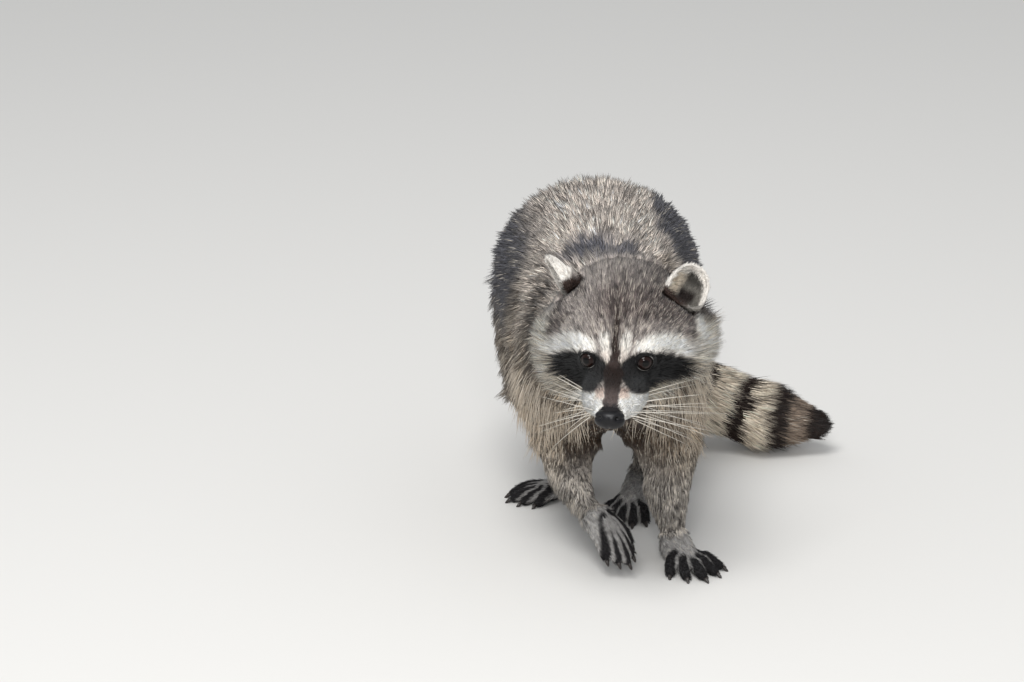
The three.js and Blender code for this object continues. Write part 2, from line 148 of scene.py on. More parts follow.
def area(spots, outline, soft):
    """How fully each flat spot lies inside a closed outline with an edge of soft."""
    best = np.full(len(spots), 1e9)
    inside = np.zeros(len(spots), bool)
    corners = np.array(outline, float)
    for a, b in zip(corners, np.roll(corners, -1, axis=0)):
        best = np.minimum(best, np.linalg.norm(off_line(spots, a, b)[0], axis=1))
        crosses = (a[1] > spots[:, 1]) != (b[1] > spots[:, 1])
        rise = np.where(b[1] == a[1], 1e-9, b[1] - a[1])
        inside ^= crosses & (spots[:, 0] < a[0] + (b[0] - a[0]) * (spots[:, 1] - a[1]) / rise)
    return smooth(soft, -soft, np.where(inside, -best, best))


def grain(points, size, seed):
    """Smooth random numbers from about -1 to 1 that change over about size."""
    draw = np.random.default_rng(seed)
    total = np.zeros(len(points))
    for _ in range(5):
        wave = draw.normal(size=3)
        wave *= 2 * pi / size / np.linalg.norm(wave) * draw.uniform(0.6, 1.5)
        total += np.sin(points @ wave + draw.uniform(0, 2 * pi))
    return total / 3


# ---- the body's regions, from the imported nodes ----
LEGS = ("fore_left", "fore_right", "hind_left", "hind_right")
CLAWS = sorted(n for n in nodes if "_claw_" in n)
PADS = ["eye_left", "eye_right", "nose"]
EAR_NODES = ["ear_left", "ear_right"]
FLESH = sorted(set(nodes) - set(CLAWS) - set(PADS))
CLAW_SPOTS = {leg: np.array([middle(c) for c in CLAWS if c.startswith(leg)]) for leg in LEGS}

# Each region: how deep the skin lies under the coat's tips, how long and wide a tuft is, and how
# steeply it stands at its root and tip, in millimetres and degrees.
COAT_KEYS = ("depth", "length", "width", "root", "tip")
REGIONS = {
    "head": (4.2, 9, 0.7, 30, 11),
    "muzzle": (1.8, 5, 0.6, 24, 8),
    "lower_jaw": (2.5, 8, 0.7, 28, 12),
    "ear_out": (0, 3.4, 0.5, 22, 8),
    "ear_in": (0, 3.0, 0.45, 26, 14),
    "lid": (0, 2.2, 0.45, 16, 4),
    "neck": (11, 22, 0.95, 40, 20),
    "chest": (12, 24, 1.05, 38, 18),
    "loin": (11, 20, 1.05, 38, 18),
    "rump": (10, 21, 1.1, 40, 18),
    "fore_upper": (9, 22, 1.0, 36, 16),
    "fore_lower": (3, 14, 0.8, 26, 10),
    "hind_upper": (12, 23, 1.1, 36, 16),
    "hind_lower": (4, 14, 0.9, 30, 12),
    "paw": (-1.0, 5.5, 0.6, 20, 5),
    "tail": (14, 27, 1.2, 34, 15),
    "pad": (3, 3, 0.6, 20, 6),
}


def coat_table(regions):
    """What REGIONS says for each region in a list, by key."""
    rows = np.array([REGIONS[r] for r in regions], float).reshape(-1, len(COAT_KEYS))
    return {key: rows[:, i].copy() for i, key in enumerate(COAT_KEYS)}


def region_of(node):
    if node in PADS:
        return "pad"
    for leg in LEGS:
        if node.startswith(leg):
            part = node[len(leg) + 1 :]
            return "paw" if part == "paw" else leg.split("_")[0] + "_" + part
    return "tail" if node.startswith("tail") else node


PAW_HEADINGS = {
    "fore_left": (0.36, -0.93, -0.1),
    "fore_right": (0.46, -0.74, -0.42),
    "hind_left": (-0.36, -0.93, -0.1),
    "hind_right": (-0.95, -0.31, -0.1),
}


def tail_place(points):
    """Each point's distance along the tail's line in millimetres, and the line's way there."""
    steps = np.diff(TAIL_LINE, axis=0)
    lengths = np.linalg.norm(steps, axis=1)
    starts = np.concatenate([[0], np.cumsum(lengths)])
    best = np.full(len(points), 1e9)
    along = np.zeros(len(points))
    way = np.zeros((len(points), 3))
    for i, step in enumerate(steps):
        off, t = off_line(points, TAIL_LINE[i], TAIL_LINE[i + 1])
        gap = np.linalg.norm(off, axis=1)
        nearer = gap < best
        ahead, behind = unit(steps[min(i + 1, len(steps) - 1)]), unit(steps[max(i - 1, 0)])
        late, early = np.clip(t - 0.5, 0, 1)[:, None], np.clip(0.5 - t, 0, 1)[:, None]
        turned = unit(step) * (1 - late - early) + late * ahead + early * behind
        best[nearer] = gap[nearer]
        along[nearer] = (starts[i] + t * lengths[i])[nearer]
        way[nearer] = turned[nearer]
    return along / MM, unit(way)


# The way that the coat lies on the parts where it has one way.
LIES = {
    "lower_jaw": tuple(-FORWARD + (0, 0, -0.2)),
    "neck": (0, 1, -0.8), "chest": (0, 1, -0.8),
    "fore_upper": (0, 0.45, -1), "hind_upper": (0, 0.55, -1),
    "fore_lower": (0, 0, -1), "hind_lower": (0, 0.05, -1),
}


def lie_of(node, points):
    """The way that the coat lies on a node's part of the skin."""
    region = region_of(node)
    if region in ("head", "muzzle", "pad"):
        return unit(points - NOSE_TIP) + (0, 0, -0.15)
    if region == "tail":
        return tail_place(points)[1]
    way = PAW_HEADINGS[node[:-4]] if region == "paw" else LIES.get(region, (0, 1, -0.6))
    return np.tile(way, (len(points), 1))


# ---- lids: a thin shell round each eye, open in front ----
LID_R, LID_WALL = 8.9, 0.55
OPEN_WIDE, OPEN_HIGH, OPEN_TILT = radians(49), radians(46), radians(12)
FIRST_RING = radians(180 / 36)
# The lids' fold and margin: how deep or high each is, and how far from the opening it reaches.
FOLD_DEPTH, FOLD_AT, FOLD_REACH = 0.45, radians(20), radians(7)
MARGIN_HEIGHT, MARGIN_REACH = 0.35, radians(6)


def eye_axes(side):
    sign = 1 if side == "left" else -1
    gaze = way_from_head(0.36 * sign + 0.06, -0.76, 0.54)
    outward = way_from_head(cos(OPEN_TILT) * sign, 0.0, sin(OPEN_TILT))
    outward = unit(outward - gaze * (outward @ gaze))
    upward = np.cross(gaze, outward) * sign
    return np.array([outward, upward, gaze])


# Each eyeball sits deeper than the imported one, as its lids and lashes stand round it.
EYE_SINK = 1.2 * MM
eye_seats = {side: spot - eye_axes(side)[2] * EYE_SINK for side, spot in eye_spots.items()}
eye_seats["left"] += LEFT * 1.2 * MM
eye_seats["right"] += way_from_head(0.3, -1.6, -1.4) * MM


def opening_at(turn):
    """How far the lids' margin lies from the gaze, as an angle, at a turn round it."""
    high = np.where(np.sin(turn) > 0, 0.94, 1.0) * OPEN_HIGH
    edge = 1 / np.sqrt((np.cos(turn) / OPEN_WIDE) ** 2 + (np.sin(turn) / high) ** 2)
    return edge + radians(5) * np.abs(np.cos(turn)) ** 10


def in_eye(side, points):
    """Points in the eye's own axes in millimetres, their reach, and their angle from the gaze."""
    local = (points - eye_seats[side]) @ eye_axes(side).T / MM
    reach = np.linalg.norm(local, axis=1)
    return local, reach, np.arccos(np.clip(local[:, 2] / np.maximum(reach, 1e-9), -1, 1))


# ---- markings: one function colours the skin and the coat alike ----
BACK_CREAM = "#e8dbcf"
FLANK_GREY = "#8f857a"
# Painted shade in slate grey: in the nape's hollow behind the head, and on the flanks where they
# turn from the light, over their own darker fur.
SLATE_SHADE = "#55565f"
SHOULDER_DARK = "#463f3a"
CHEST_TAN = "#c6b39c"
# Dark brown underfur, laid on also as painted shade under the chest, between the fore legs and on
# the far hind leg.
SHADED_UNDER_BROWN = "#453426"
LEG_GREY = "#b4ada5"
SILVER = "#b1aeab"
TOE_BLACK = "#262425"
CROWN_GREY = "#7a6e6a"
CROWN_PALE_AND_LIT = "#b5aca6"
CHEEK_CREAM = "#f2e7d6"
WHITE_FUR_AND_LIGHT = "#fbf7ef"
BLUSH = "#c9a998"
MASK_BLACK = "#121111"
# Painted sheen: the light's soft blue-grey gloss on the black mask.
MASK_SHEEN = "#303336"
BRIDGE_DARK = "#1e120d"
BRIDGE_PALE = "#5c504c"
STRIPE_AND_SHADE_BROWN = "#392b26"
EAR_BROWN = "#3f302a"
EAR_TAN = "#eadcc8"
EAR_CREAM = "#e9e3db"
EAR_GREY_AND_SHADE = "#726e67"
EAR_HOLE_SHADE = "#211713"
EAR_SHADE = "#47443f"
WET_LID_HIGHLIGHT = "#c9c6c0"
TAIL_TAN = "#eddfcb"
TAIL_DARK = "#2b201b"
TAIL_BROWN = "#8d7868"
WHISKER_CREAM = "#e9e2d6"
LOCK_CREAM = "#e2d6c5"
EYE_RIM, IRIS_BROWN, PUPIL_BLACK = "#1c1716", "#1d0f0b", "#050404"
NOSE_BLACK, CLAW_BROWN = "#0e0d10", "#2b2522"
PAPER, SKY = "#dcdad6", "#eef1f5"

# Outlines on the face as (side, rise): side is the distance from the middle plane, and rise goes
# up the face from the nose tip, by these shares of back, of up, and of left with its sign turned.
RISE_BACK, RISE_UP, RISE_ROLL = 0.808, 0.590, 0.04
MASK = [
    (7, 51), (11, 54.5), (17, 58), (26, 60), (36, 60), (46, 58.5), (58, 57), (68, 55), (71, 49),
    (69, 42), (64, 38), (54, 32), (45, 29), (36, 27), (28, 25), (21, 23.5), (15, 26), (9, 34),
    (4, 40),
]
BRIDGE = [
    (-5, 4), (7.5, 6), (7, 14), (6.6, 22), (7.5, 32), (9, 42), (6.5, 49), (4, 55), (3.4, 60),
    (-5, 60),
]
STRIPE = [(0, 50, 5), (0, 58, 3.2), (0, 72, 2.4), (0, 88, 2.0), (0, 108, 1.2)]
WEDGE = [
    (6.6, 51), (4.2, 57), (4.0, 66), (5, 74), (9, 79),
    (13, 77), (14.6, 70), (13.6, 63), (11.5, 58), (8.5, 53),
]
BROW = [
    (16.5, 60), (18, 66), (23, 71), (31, 75), (40, 77), (50, 76), (60, 73), (70, 70), (73, 64),
    (72, 60), (66, 55), (58, 57), (46, 59.5), (36, 60.5), (26, 60.5),
]
# Strokes on the head as (side, back, up, radius).
TEMPLE_PATCH = [(68, 105, 14, 6), (70, 97, 9, 6.5), (73, 95, -2, 7), (72, 88, -8, 5)]
TEMPLE_SHADE = [(54, 92, 27, 4), (62, 84, 15, 4), (68, 80, 6, 3)]
EAR_STRIPES = [
    [(56, 108, 34, 5), (60, 98, 27, 5), (68, 96, 12, 4.5)],
    [(48, 88, 33, 4), (56, 88, 24, 4), (64, 87, 14, 4), (70, 85, 3, 3.5)],
]
EAR_ROOT = [(38, 108, 45, 4), (47, 99, 41, 5), (56, 96, 32, 3)]
NOSE_RIM = [(0, 6, -1, 10.6), (0, 8, -3, 11.4)]
# Strokes on the face as (side, rise, radius).
# SHEEN holds the strokes of painted sheen on the mask under each eye.
SHEEN = [(20, 36, 2), (34, 37, 4), (44, 42, 2)]
STRIPE_SHADE = [(0, 60, 4), (0, 90, 8), (0, 122, 9)]


def head_markings(points):
    """Colours of the head, and how grizzled each point is."""
    place = in_head(points)
    place += np.stack([grain(points, 9 * MM, s) for s in (21, 22, 23)], axis=1) * 0.8
    left, back, up = place.T
    side, rise = np.abs(left), RISE_BACK * back + RISE_UP * up - RISE_ROLL * left
    spot = np.stack([side, back, up], axis=1)
    flat = np.stack([side, rise], axis=1)
    on_face = smooth(-46, -38, up)
    on_left, on_right = (0.3 + 0.65 * smooth(-5, 5, way * left) for way in (1, -1))
    # Painted shadow in the nape's hollow behind the crown.
    crown_back = smooth(143, 147, rise) * smooth(-34, -26, left) * smooth(50, 42, left)
    cheek = np.maximum(smooth(56, 48, rise) * smooth(28, 48, back), smooth(-24, -34, up))
    brow = area(flat, BROW, 4.5) * on_face
    wedge = area(flat, WEDGE, 2.2) * on_face
    temple = stroke(spot, TEMPLE_PATCH, 5) * on_left
    muzzle = smooth(27, 23, rise) * smooth(66, 56, back) * smooth(52, 44, side)
    white = np.maximum.reduce([brow, 0.78 * wedge, temple, muzzle])
    blush = smooth(17, 21, rise) * smooth(30, 26, rise) * smooth(6, 8, side) * smooth(17, 13, side)
    mask = area(flat, MASK, 1.6) * on_face
    bridge = area(flat, BRIDGE, 1.2) * on_face
    stripe = stroke(flat, STRIPE, 1.3) * smooth(40, 50, rise) * smooth(112, 84, rise) * on_face
    colours = laid(even(CROWN_GREY, len(points)), [
        (CROWN_PALE_AND_LIT, 0.7 * smooth(98, 80, rise)),
        (CROWN_PALE_AND_LIT, 0.6 * smooth(112, 124, rise)),
        # Paler on the crown's right, the side the light comes from: partly its own tone, partly
        # painted light.
        (CROWN_PALE_AND_LIT, 0.7 * smooth(-8, -34, left)),
        (CROWN_PALE_AND_LIT, 0.5 * smooth(130, 140, rise)),
        (SLATE_SHADE, 0.9 * crown_back),
        # Darker on the crown's left, away from the light: partly its own tone, partly painted
        # shade.
        (STRIPE_AND_SHADE_BROWN, 0.55 * smooth(4, 30, left) * smooth(78, 92, rise)),
        (CHEEK_CREAM, cheek),
        (CHEEK_CREAM, smooth(62, 70, side) * smooth(98, 84, rise)),
        # Painted light: whiter low on the left cheek, against the shade that falls under it.
        (WHITE_FUR_AND_LIGHT, 0.5 * smooth(40, 55, left) * smooth(40, 30, rise) * smooth(-30, -22, up)),
        *[(STRIPE_AND_SHADE_BROWN, on_right * stroke(spot, line, 2.2)) for line in EAR_STRIPES],
        (EAR_BROWN, 0.9 * stroke(spot, EAR_ROOT, 3)),
        (WHITE_FUR_AND_LIGHT, white),
        (BLUSH, 0.3 * wedge * smooth(66, 54, rise)),
        (CROWN_GREY, 0.7 * stroke(spot, TEMPLE_SHADE, 4)),
        (BLUSH, 0.6 * blush),
        (MASK_BLACK, mask),
        # Painted sheen on the black mask under the eyes.
        (MASK_SHEEN, 0.4 * stroke(flat, SHEEN, 7) * mask),
        (BRIDGE_DARK, bridge),
        (BRIDGE_PALE, bridge * smooth(34, 18, rise)),
        (STRIPE_AND_SHADE_BROWN, 0.5 * stroke(flat, STRIPE_SHADE, 8)),
        (STRIPE_AND_SHADE_BROWN, stripe),
        (TOE_BLACK, stroke(spot, NOSE_RIM, 1.5)),
        # Painted shade on the head's skin inside each ear's hollow.
        *[(EAR_HOLE_SHADE, 0.9 * smooth(0.5, 0.9, in_scoop(name, points))) for name in EARS],
    ])
    plain = np.maximum.reduce([0.75 * white, 0.9 * mask, 0.9 * bridge])
    return colours, 1 - plain


# Strokes on the body as (distance from the trunk's middle, y, height, radius).
SHOULDER_LINE = [
    (56, -31, 247, 7), (65, -46, 232, 7), (70, -48, 224, 7), (76, -71, 209, 7), (77, -91, 185, 7),
    (83, -69, 155, 6),
]
SHOULDER_BAND = [
    (57, 21, 268, 8), (66, 2, 250, 8), (73, -17, 233, 8), (78, -32, 213, 8), (83, -18, 186, 7),
]
# NAPE_LINE: the nape's hollow behind the head, painted in slate shadow.
NAPE_LINE = [(-36, -16, 264, 8), (-18, -11, 273, 15), (8, -15, 273, 14), (38, -20, 268, 9)]
# Brown painted shade in the chest's front hollows: (distance to the left of the middle, height,
# radius).
CHEST_SHADES = [
    [(18, 165, 12), (22, 118, 13)], [(-41, 142, 7), (-37, 104, 8)], [(38, 118, 12), (44, 86, 12)],
    [(56, 138, 10), (58, 112, 10)],
]
NECK_STRIPES = [
    [(51, -64, 243, 3.5), (65, -71, 226, 3.5), (72, -72, 205, 3)],
    [(54, -36, 246, 4), (67, -48, 226, 4)],
]
# How far the saddle of pale fur reaches down each side of the trunk: more on the right.
SADDLE_LEFT, SADDLE_RIGHT = 54, 62


# The arch between the fore legs, as a line under the chest and its radius.
ARCH_ENDS = NOSE_TIP + MM * np.array([[14.6, 70, -59], [14.6, 250, -121]])
ARCH_R = 22


def by_arch(places):
    """How near each place is to the wall of the arch between the fore legs."""
    gap = np.linalg.norm(off_line(places, *ARCH_ENDS)[0], axis=1) / MM
    return smooth(ARCH_R + 24, ARCH_R + 12, gap)


def body_markings(points, regions):
    """Colours of the body, legs and tail, and how grizzled each point is."""
    x, y, z = (points / MM).T
    left = x - SIDE / MM
    aside, on_left = np.abs(left), left > 0
    patch, small, fine = (grain(points, a * MM, seed) for a, seed in ((55, 3), (16, 4), (9, 6)))
    flank = np.stack([aside + 3 * small, y + 4 * fine, z], axis=1)
    across = np.stack([left, y + 4 * small, z], axis=1)
    front_view = np.stack([left + 3 * small, z], axis=1)
    reach = np.where(on_left, SADDLE_LEFT, SADDLE_RIGHT) + 5 * small
    beyond = (aside - reach) / np.where(on_left, 6, 20)
    saddle = smooth(195, 240, z + 8 * patch) * smooth(1, -0.8, beyond)
    # The flanks below the saddle: their own darker slate fur, with painted shade where they turn
    # from the light.
    edge = smooth(-0.8, 1, beyond) * smooth(-2, 30, y + 8 * small)
    edge *= smooth(150, 205, z + 10 * patch) * smooth(190, 150, y)
    low_neck = (regions == "neck") * smooth(250, 215, z)
    front = smooth(195, 150, z + 10 * patch) * smooth(30, -10, y)
    left_ruff = smooth(50, 64, left) * smooth(165, 185, z) * smooth(-30, -50, y)
    # Painted shade in dark brown over the dark underfur: under the chest, by the wall of the arch
    # between the fore legs and in the chest's hollows.
    under = smooth(56, 30, aside + 4 * small) * smooth(160, 132, z) * smooth(62, 85, z)
    hollows = [0.75 * (y < -40) * stroke(front_view, line, 8) for line in CHEST_SHADES]
    brown = np.maximum.reduce([under, by_arch(points) * (z > 80), *hollows])
    # Painted shadow in the nape's hollow.
    nape = stroke(across, NAPE_LINE, 14)
    leg = np.char.endswith(regions, "_lower") | np.char.endswith(regions, "_upper")
    colours = laid(even(FLANK_GREY, len(points)), [
        (BACK_CREAM, saddle),
        (SLATE_SHADE, 0.9 * edge),
        (CHEEK_CREAM, low_neck),
        (CHEST_TAN, front),
        (SHOULDER_DARK, 0.8 * stroke(flank, SHOULDER_LINE, 5)),
        (BACK_CREAM, 0.8 * stroke(flank, SHOULDER_BAND, 6)),
        (CHEEK_CREAM, 0.8 * left_ruff),
        *[(SHOULDER_DARK, 0.85 * stroke(flank, line, 3)) for line in NECK_STRIPES],
        (SHADED_UNDER_BROWN, brown),
        (SLATE_SHADE, nape),
        (LEG_GREY, leg * smooth(110, 65, z)),
        # Painted shade on the left hind leg's lower part, which stands in deep shadow.
        (SHADED_UNDER_BROWN, 0.7 * (regions == "hind_lower") * on_left * smooth(25, 45, z)),
    ])
    colours, on_toe = over_paws(colours, points, regions)
    on_tail = regions == "tail"
    colours, ring = over_tail(colours, tail_place(points)[0], on_tail, points)
    shaggy = np.maximum(low_neck, front) * smooth(60, 90, z)
    grizzle = 1 - 0.75 * nape + 0.9 * shaggy - 1.2 * brown
    grizzle -= on_tail * (0.6 + 0.25 * ring) + (regions == "paw") * (0.5 + 0.4 * on_toe)
    return colours, np.maximum(grizzle, 0) * (1 - 0.5 * edge)


# How much less the height above a toe counts than the distance to its side.
TOE_FLATNESS = 0.8
TOE_LENGTHS = {"fore_left": 24, "fore_right": 33, "hind_left": 22, "hind_right": 24}


def over_paws(colours, points, regions):
    """Silver backs of the paws, and black toes with a pale streak between each two."""
    paw = regions == "paw"
    near, between = np.zeros((2, len(points)))
    for leg, spots in CLAW_SPOTS.items():
        ahead = unit(PAW_HEADINGS[leg])
        heel = spots.mean(0) - ahead * 55 * MM
        through = unit(np.cross(ahead, (-ahead[1], ahead[0], 0)))
        gaps = []
        for claw in spots:
            off, _ = off_line(points, claw, claw + unit(heel - claw) * TOE_LENGTHS[leg] * MM)
            off -= TOE_FLATNESS * (off @ through)[:, None] * through
            gaps.append(np.linalg.norm(off, axis=1) / MM)
        gaps = np.sort(gaps, axis=0)
        toe = smooth(7.5, 5.2, gaps[0])
        near = np.maximum(near, toe)
        between = np.maximum(between, toe * smooth(3.6, 1.4, gaps[1] - gaps[0]))
    layers = [(SILVER, paw), (TOE_BLACK, paw * near), (SILVER, 0.9 * paw * between)]
    return laid(colours, layers), near


TAIL_RINGS = [(88, 104), (126, 142), (166, 182), (208, 226), (244, 261), (281, 340)]


def over_tail(colours, along, on_tail, points):
    wander = 2 * grain(points, 25 * MM, 5)
    dark = np.zeros(len(points))
    for start, end in TAIL_RINGS:
        inside = smooth(start - 3.5, start + 3.5, along + wander)
        dark = np.maximum(dark, inside * (1 - smooth(end - 3.5, end + 3.5, along + wander)))
    return laid(colours, [
        (TAIL_TAN, on_tail * smooth(40, 80, along)),
        (TAIL_BROWN, on_tail * 0.85 * smooth(252, 264, along + wander)),
        (TAIL_DARK, on_tail * dark),
    ]), dark


# ---- ears: scoops that are deep at the root and shallow at the tip ----
EAR_WALL, EAR_SWEEP = 1.4, radians(104)
# How far an ear's shell goes on below its root, as a share of its height.
EAR_BELOW = 0.06
# medial tells which way across the ear the head's middle, or its front edge, lies.
EARS = {
    "ear_left": dict(
        base=(49.8, 107.0, 32.0), opening=(0.228, -0.854, 0.465), up=(0.467, 0.515, 0.717),
        medial=1, height=36, half=18.5, deep=14,
    ),
    "ear_right": dict(
        base=(-50.7, 113.3, 29.2), opening=(-0.98, -0.01, -0.09), up=(-0.42, 0.5, 0.75),
        medial=-1, height=36, half=16, deep=12.5,
    ),
}


def ear_axes(name):
    ear = EARS[name]
    up, opening = unit(ear["up"]), np.array(ear["opening"])
    ahead = unit(opening - up * (opening @ up))
    return from_head(*ear["base"]), np.array([np.cross(ahead, up), ahead, up])


def in_ear(name, points):
    """Points as across, ahead and up of the ear's root, in millimetres."""
    base, axes = ear_axes(name)
    return (points - base) @ axes.T / MM


def in_scoop(name, points):
    """How fully each point lies in the hollow of an ear, or before it."""
    ear = EARS[name]
    across, ahead, up = in_ear(name, points).T
    within = smooth(1.1, 0.85, np.abs(across) / ear["half"])
    within *= smooth(-6, -1, up) * smooth(ear["height"], ear["height"] - 8, up)
    return within * smooth(-ear["deep"] - 7, -ear["deep"] - 3, ahead) * smooth(16, 10, ahead)


def sink_under_ears(places):
    """Draws the head's skin back behind the hollow of each ear."""
    for name, ear in EARS.items():
        _, axes = ear_axes(name)
        across, ahead, _ = in_ear(name, places).T
        wall = -(ear["deep"] + 2.5) * np.sqrt(np.clip(1 - (across / ear["half"]) ** 2, 0, 1)) - 1.5
        move = in_scoop(name, places) * (np.minimum(ahead, wall) - ahead)
        places = places + move[:, None] * axes[1] * MM
    return places


def ear_scoop(name):
    """The ear's shell, with its places in the frame."""
    ear = EARS[name]
    bm = bmesh.new()
    bmesh.ops.create_grid(bm, x_segments=28, y_segments=26, size=1)
    for vert in bm.verts:
        turn = vert.co.x * EAR_SWEEP
        rise = -EAR_BELOW + (vert.co.y + 1) / 2 * (1 + EAR_BELOW)
        crown = sqrt(max(0.0, 1 - (max(rise - 0.25, 0) / 0.75) ** 2.3))
        foot = sqrt(max(0.0, 1 - (max(0.2 - rise, 0) / (0.2 + EAR_BELOW)) ** 3))
        width = ear["half"] * crown * foot
        depth = ear["deep"] * crown**0.6 * foot * (1 - 0.4 * max(rise, 0))
        lean = 2.5 * max(rise, 0) ** 2
        ahead = lean - depth * cos(turn)
        vert.co = Vector((width * sin(turn), ahead, ear["height"] * rise))
    bmesh.ops.remove_doubles(bm, verts=bm.verts, dist=0.02)
    thicken(bm, EAR_WALL)
    base, axes = ear_axes(name)
    set_down(bm, base, turned(axes))
    return mesh_from(bm, name)


def ear_markings(points, regions):
    colours = even(EAR_CREAM, len(points))
    for name in EARS:
        place = in_ear(name, points)
        mine = np.linalg.norm(place, axis=1) < 64
        across, ahead, up = place[mine].T
        medial = across * EARS[name]["medial"]
        inner = regions[mine] == "ear_in"
        root = (~inner) * smooth(0, -3, ahead + 4.5 + 0.55 * np.maximum(up - 6, 0))
        # Painted shade: grey where the ear's hollow is deep, darker again in its upper part.
        deep = inner * smooth(-1.5, -4.5, ahead)
        # Painted shade: near black in the deep hole low in each ear.
        hole = smooth(8.5, 5.5, np.abs(medial + 3.5)) * smooth(19, 13, up) * smooth(-3, -7, ahead)
        hole = np.maximum(hole, smooth(4, 0, up) * smooth(-3, -6, ahead))
        colours[mine] = laid(colours[mine], [
            (EAR_BROWN, 0.7 * root * smooth(22, 12, up)),
            (CROWN_GREY, root * smooth(14, 4, up)),
            (EAR_GREY_AND_SHADE, deep),
            (EAR_SHADE, deep * smooth(18, 25, up) * smooth(40, 36, up)),
            (EAR_TAN, inner * smooth(1, 7, medial) * smooth(0, -3, ahead) * smooth(30, 24, up)),
            (EAR_HOLE_SHADE, inner * hole),
            (EAR_BROWN, smooth(9, 5, up) * smooth(-10, -5, medial)),
            (EAR_GREY_AND_SHADE, 0.8 * smooth(10, 4, up) * smooth(-5, -10, medial)),
        ])
    return colours, np.full(len(points), 0.3)


def lid_markings(points):
    """Lids as the mask round them, black at the margin, with a thin painted highlight of the wet
    rim under the eye.
    """
    colours, _ = head_markings(points)
    for side in eye_seats:
        local, reach, tilt = in_eye(side, points)
        turn = np.arctan2(local[:, 1], local[:, 0])
        past = np.degrees(tilt - opening_at(turn))
        close = reach < 14
        low_outside = smooth(0.4, -0.2, np.sin(turn) - 0.5 * np.cos(turn))
        # A painted highlight on the wet lower margin, low on the outer side of each eye.
        rim = low_outside * smooth(9, 6.5, past) * smooth(0, 1.5, past)
        black = close * smooth(16, 10, past)
        colours = laid(colours, [(MASK_BLACK, black), (WET_LID_HIGHLIGHT, 0.9 * close * rim)])
    return colours, np.full(len(points), 0.1)


def markings(points, regions):
    """Colours of some points and how grizzled they are."""
    colours, grizzle = body_markings(points, regions)
    face = np.isin(regions, ("head", "muzzle", "lower_jaw", "pad"))
    ear = np.isin(regions, ("ear_in", "ear_out"))
    colours[face], grizzle[face] = head_markings(points[face])
    colours[ear], grizzle[ear] = ear_markings(points[ear], regions[ear])
    lid = regions == "lid"
    colours[lid], grizzle[lid] = lid_markings(points[lid])
    return np.clip(colours, 0, 1), grizzle


# ---- mesh helpers ----


def link(name, data):
    thing = bpy.data.objects.new(name, data)
    bpy.context.scene.collection.objects.link(thing)
    return thing


def mesh_from(bm, name):
    mesh = bpy.data.meshes.new(name)
    bm.to_mesh(mesh)
    bm.free()
    return mesh


def turned(axes):
    return Matrix(axes.T.tolist()).to_4x4()


def set_down(bm, place, turn):
    """Takes a shape made in millimetres to its place and turn in the frame."""
    if turn.determinant() < 0:
        bmesh.ops.reverse_faces(bm, faces=bm.faces)
    move = Matrix.Translation(place) @ turn @ Matrix.Scale(MM, 4)
    bmesh.ops.transform(bm, matrix=move, verts=bm.verts)


# A way along which no two corners, edges or faces of a small shape have the same place.
ORDER_WAY = Vector((0.5237, 0.3149, 0.7919))


def in_order(bm):
    """Numbers a shape's parts by their places, as the operators' own order differs between runs."""
    bm.verts.sort(key=lambda v: v.co.dot(ORDER_WAY))
    bm.edges.sort(key=lambda e: (e.verts[0].co + e.verts[1].co).dot(ORDER_WAY))
    bm.faces.sort(key=lambda f: f.calc_center_median().dot(ORDER_WAY))
    for parts in (bm.verts, bm.edges, bm.faces):
        parts.index_update()


def ball(segments, rings, radius=1):
    bm = bmesh.new()
    bmesh.ops.create_uvsphere(bm, u_segments=segments, v_segments=rings, radius=radius)
    in_order(bm)
    return bm


def thicken(bm, wall):
    in_order(bm)
    bmesh.ops.recalc_face_normals(bm, faces=bm.faces)
    bmesh.ops.solidify(bm, geom=bm.faces[:], thickness=wall)
    bmesh.ops.recalc_face_normals(bm, faces=bm.faces)
    in_order(bm)


def dent(across, middle, reach):
    """How fully a hollow or bump shows at some distances across it."""
    return exp(-sum(((a - m) / r) ** 2 for a, m, r in zip(across, middle, reach)))


def smooth_piece(name, bm, matter):
    mesh = mesh_from(bm, name)
    mesh.shade_smooth()
    mesh.materials.append(matter)
    return link(name, mesh)


def applied(piece):
    """The piece's mesh with its modifiers applied in place of its own."""
    depsgraph = bpy.context.evaluated_depsgraph_get()
    mesh = bpy.data.meshes.new_from_object(piece.evaluated_get(depsgraph), depsgraph=depsgraph)
    piece.modifiers.clear()
    piece.data = mesh
    return mesh


def read(holder, key, width, kind=np.float32):
    """One value or row of values from each member of a mesh's list."""
    found = np.empty(len(holder) * width, kind)
    holder.foreach_get(key, found)
    return found.reshape(-1, width)


def places_of(mesh):
    return read(mesh.vertices, "co", 3).astype(float)


def put(mesh, places):
    mesh.vertices.foreach_set("co", places.astype(np.float32).ravel())
    mesh.update()


def normals_of(mesh):
    return read(mesh.vertex_normals, "vector", 3).astype(float)


class Web:
    """The edges of a mesh, for averaging values over neighbours."""

    def __init__(self, mesh):
        pairs = read(mesh.edges, "vertices", 2, np.int32)
        self.a, self.b = pairs.T
        self.count = len(mesh.vertices)
        self.degree = np.bincount(pairs.ravel(), minlength=self.count).clip(1)

    def mean(self, values):
        columns = values.reshape(self.count, -1)
        sums = [
            np.bincount(self.a, columns[self.b, i], self.count)
            + np.bincount(self.b, columns[self.a, i], self.count)
            for i in range(columns.shape[1])
        ]
        return (np.stack(sums, axis=1) / self.degree[:, None]).reshape(values.shape)

    def relax(self, values, rounds, share=0.5):
        for _ in range(rounds):
            values = values + share * (self.mean(values) - values)
        return values


# ---- skin: the flesh nodes become one closed surface, then sink by the coat's depth ----
VOXEL = 1.8 * MM
JOINED = [n for n in FLESH + PADS if n not in EAR_NODES]


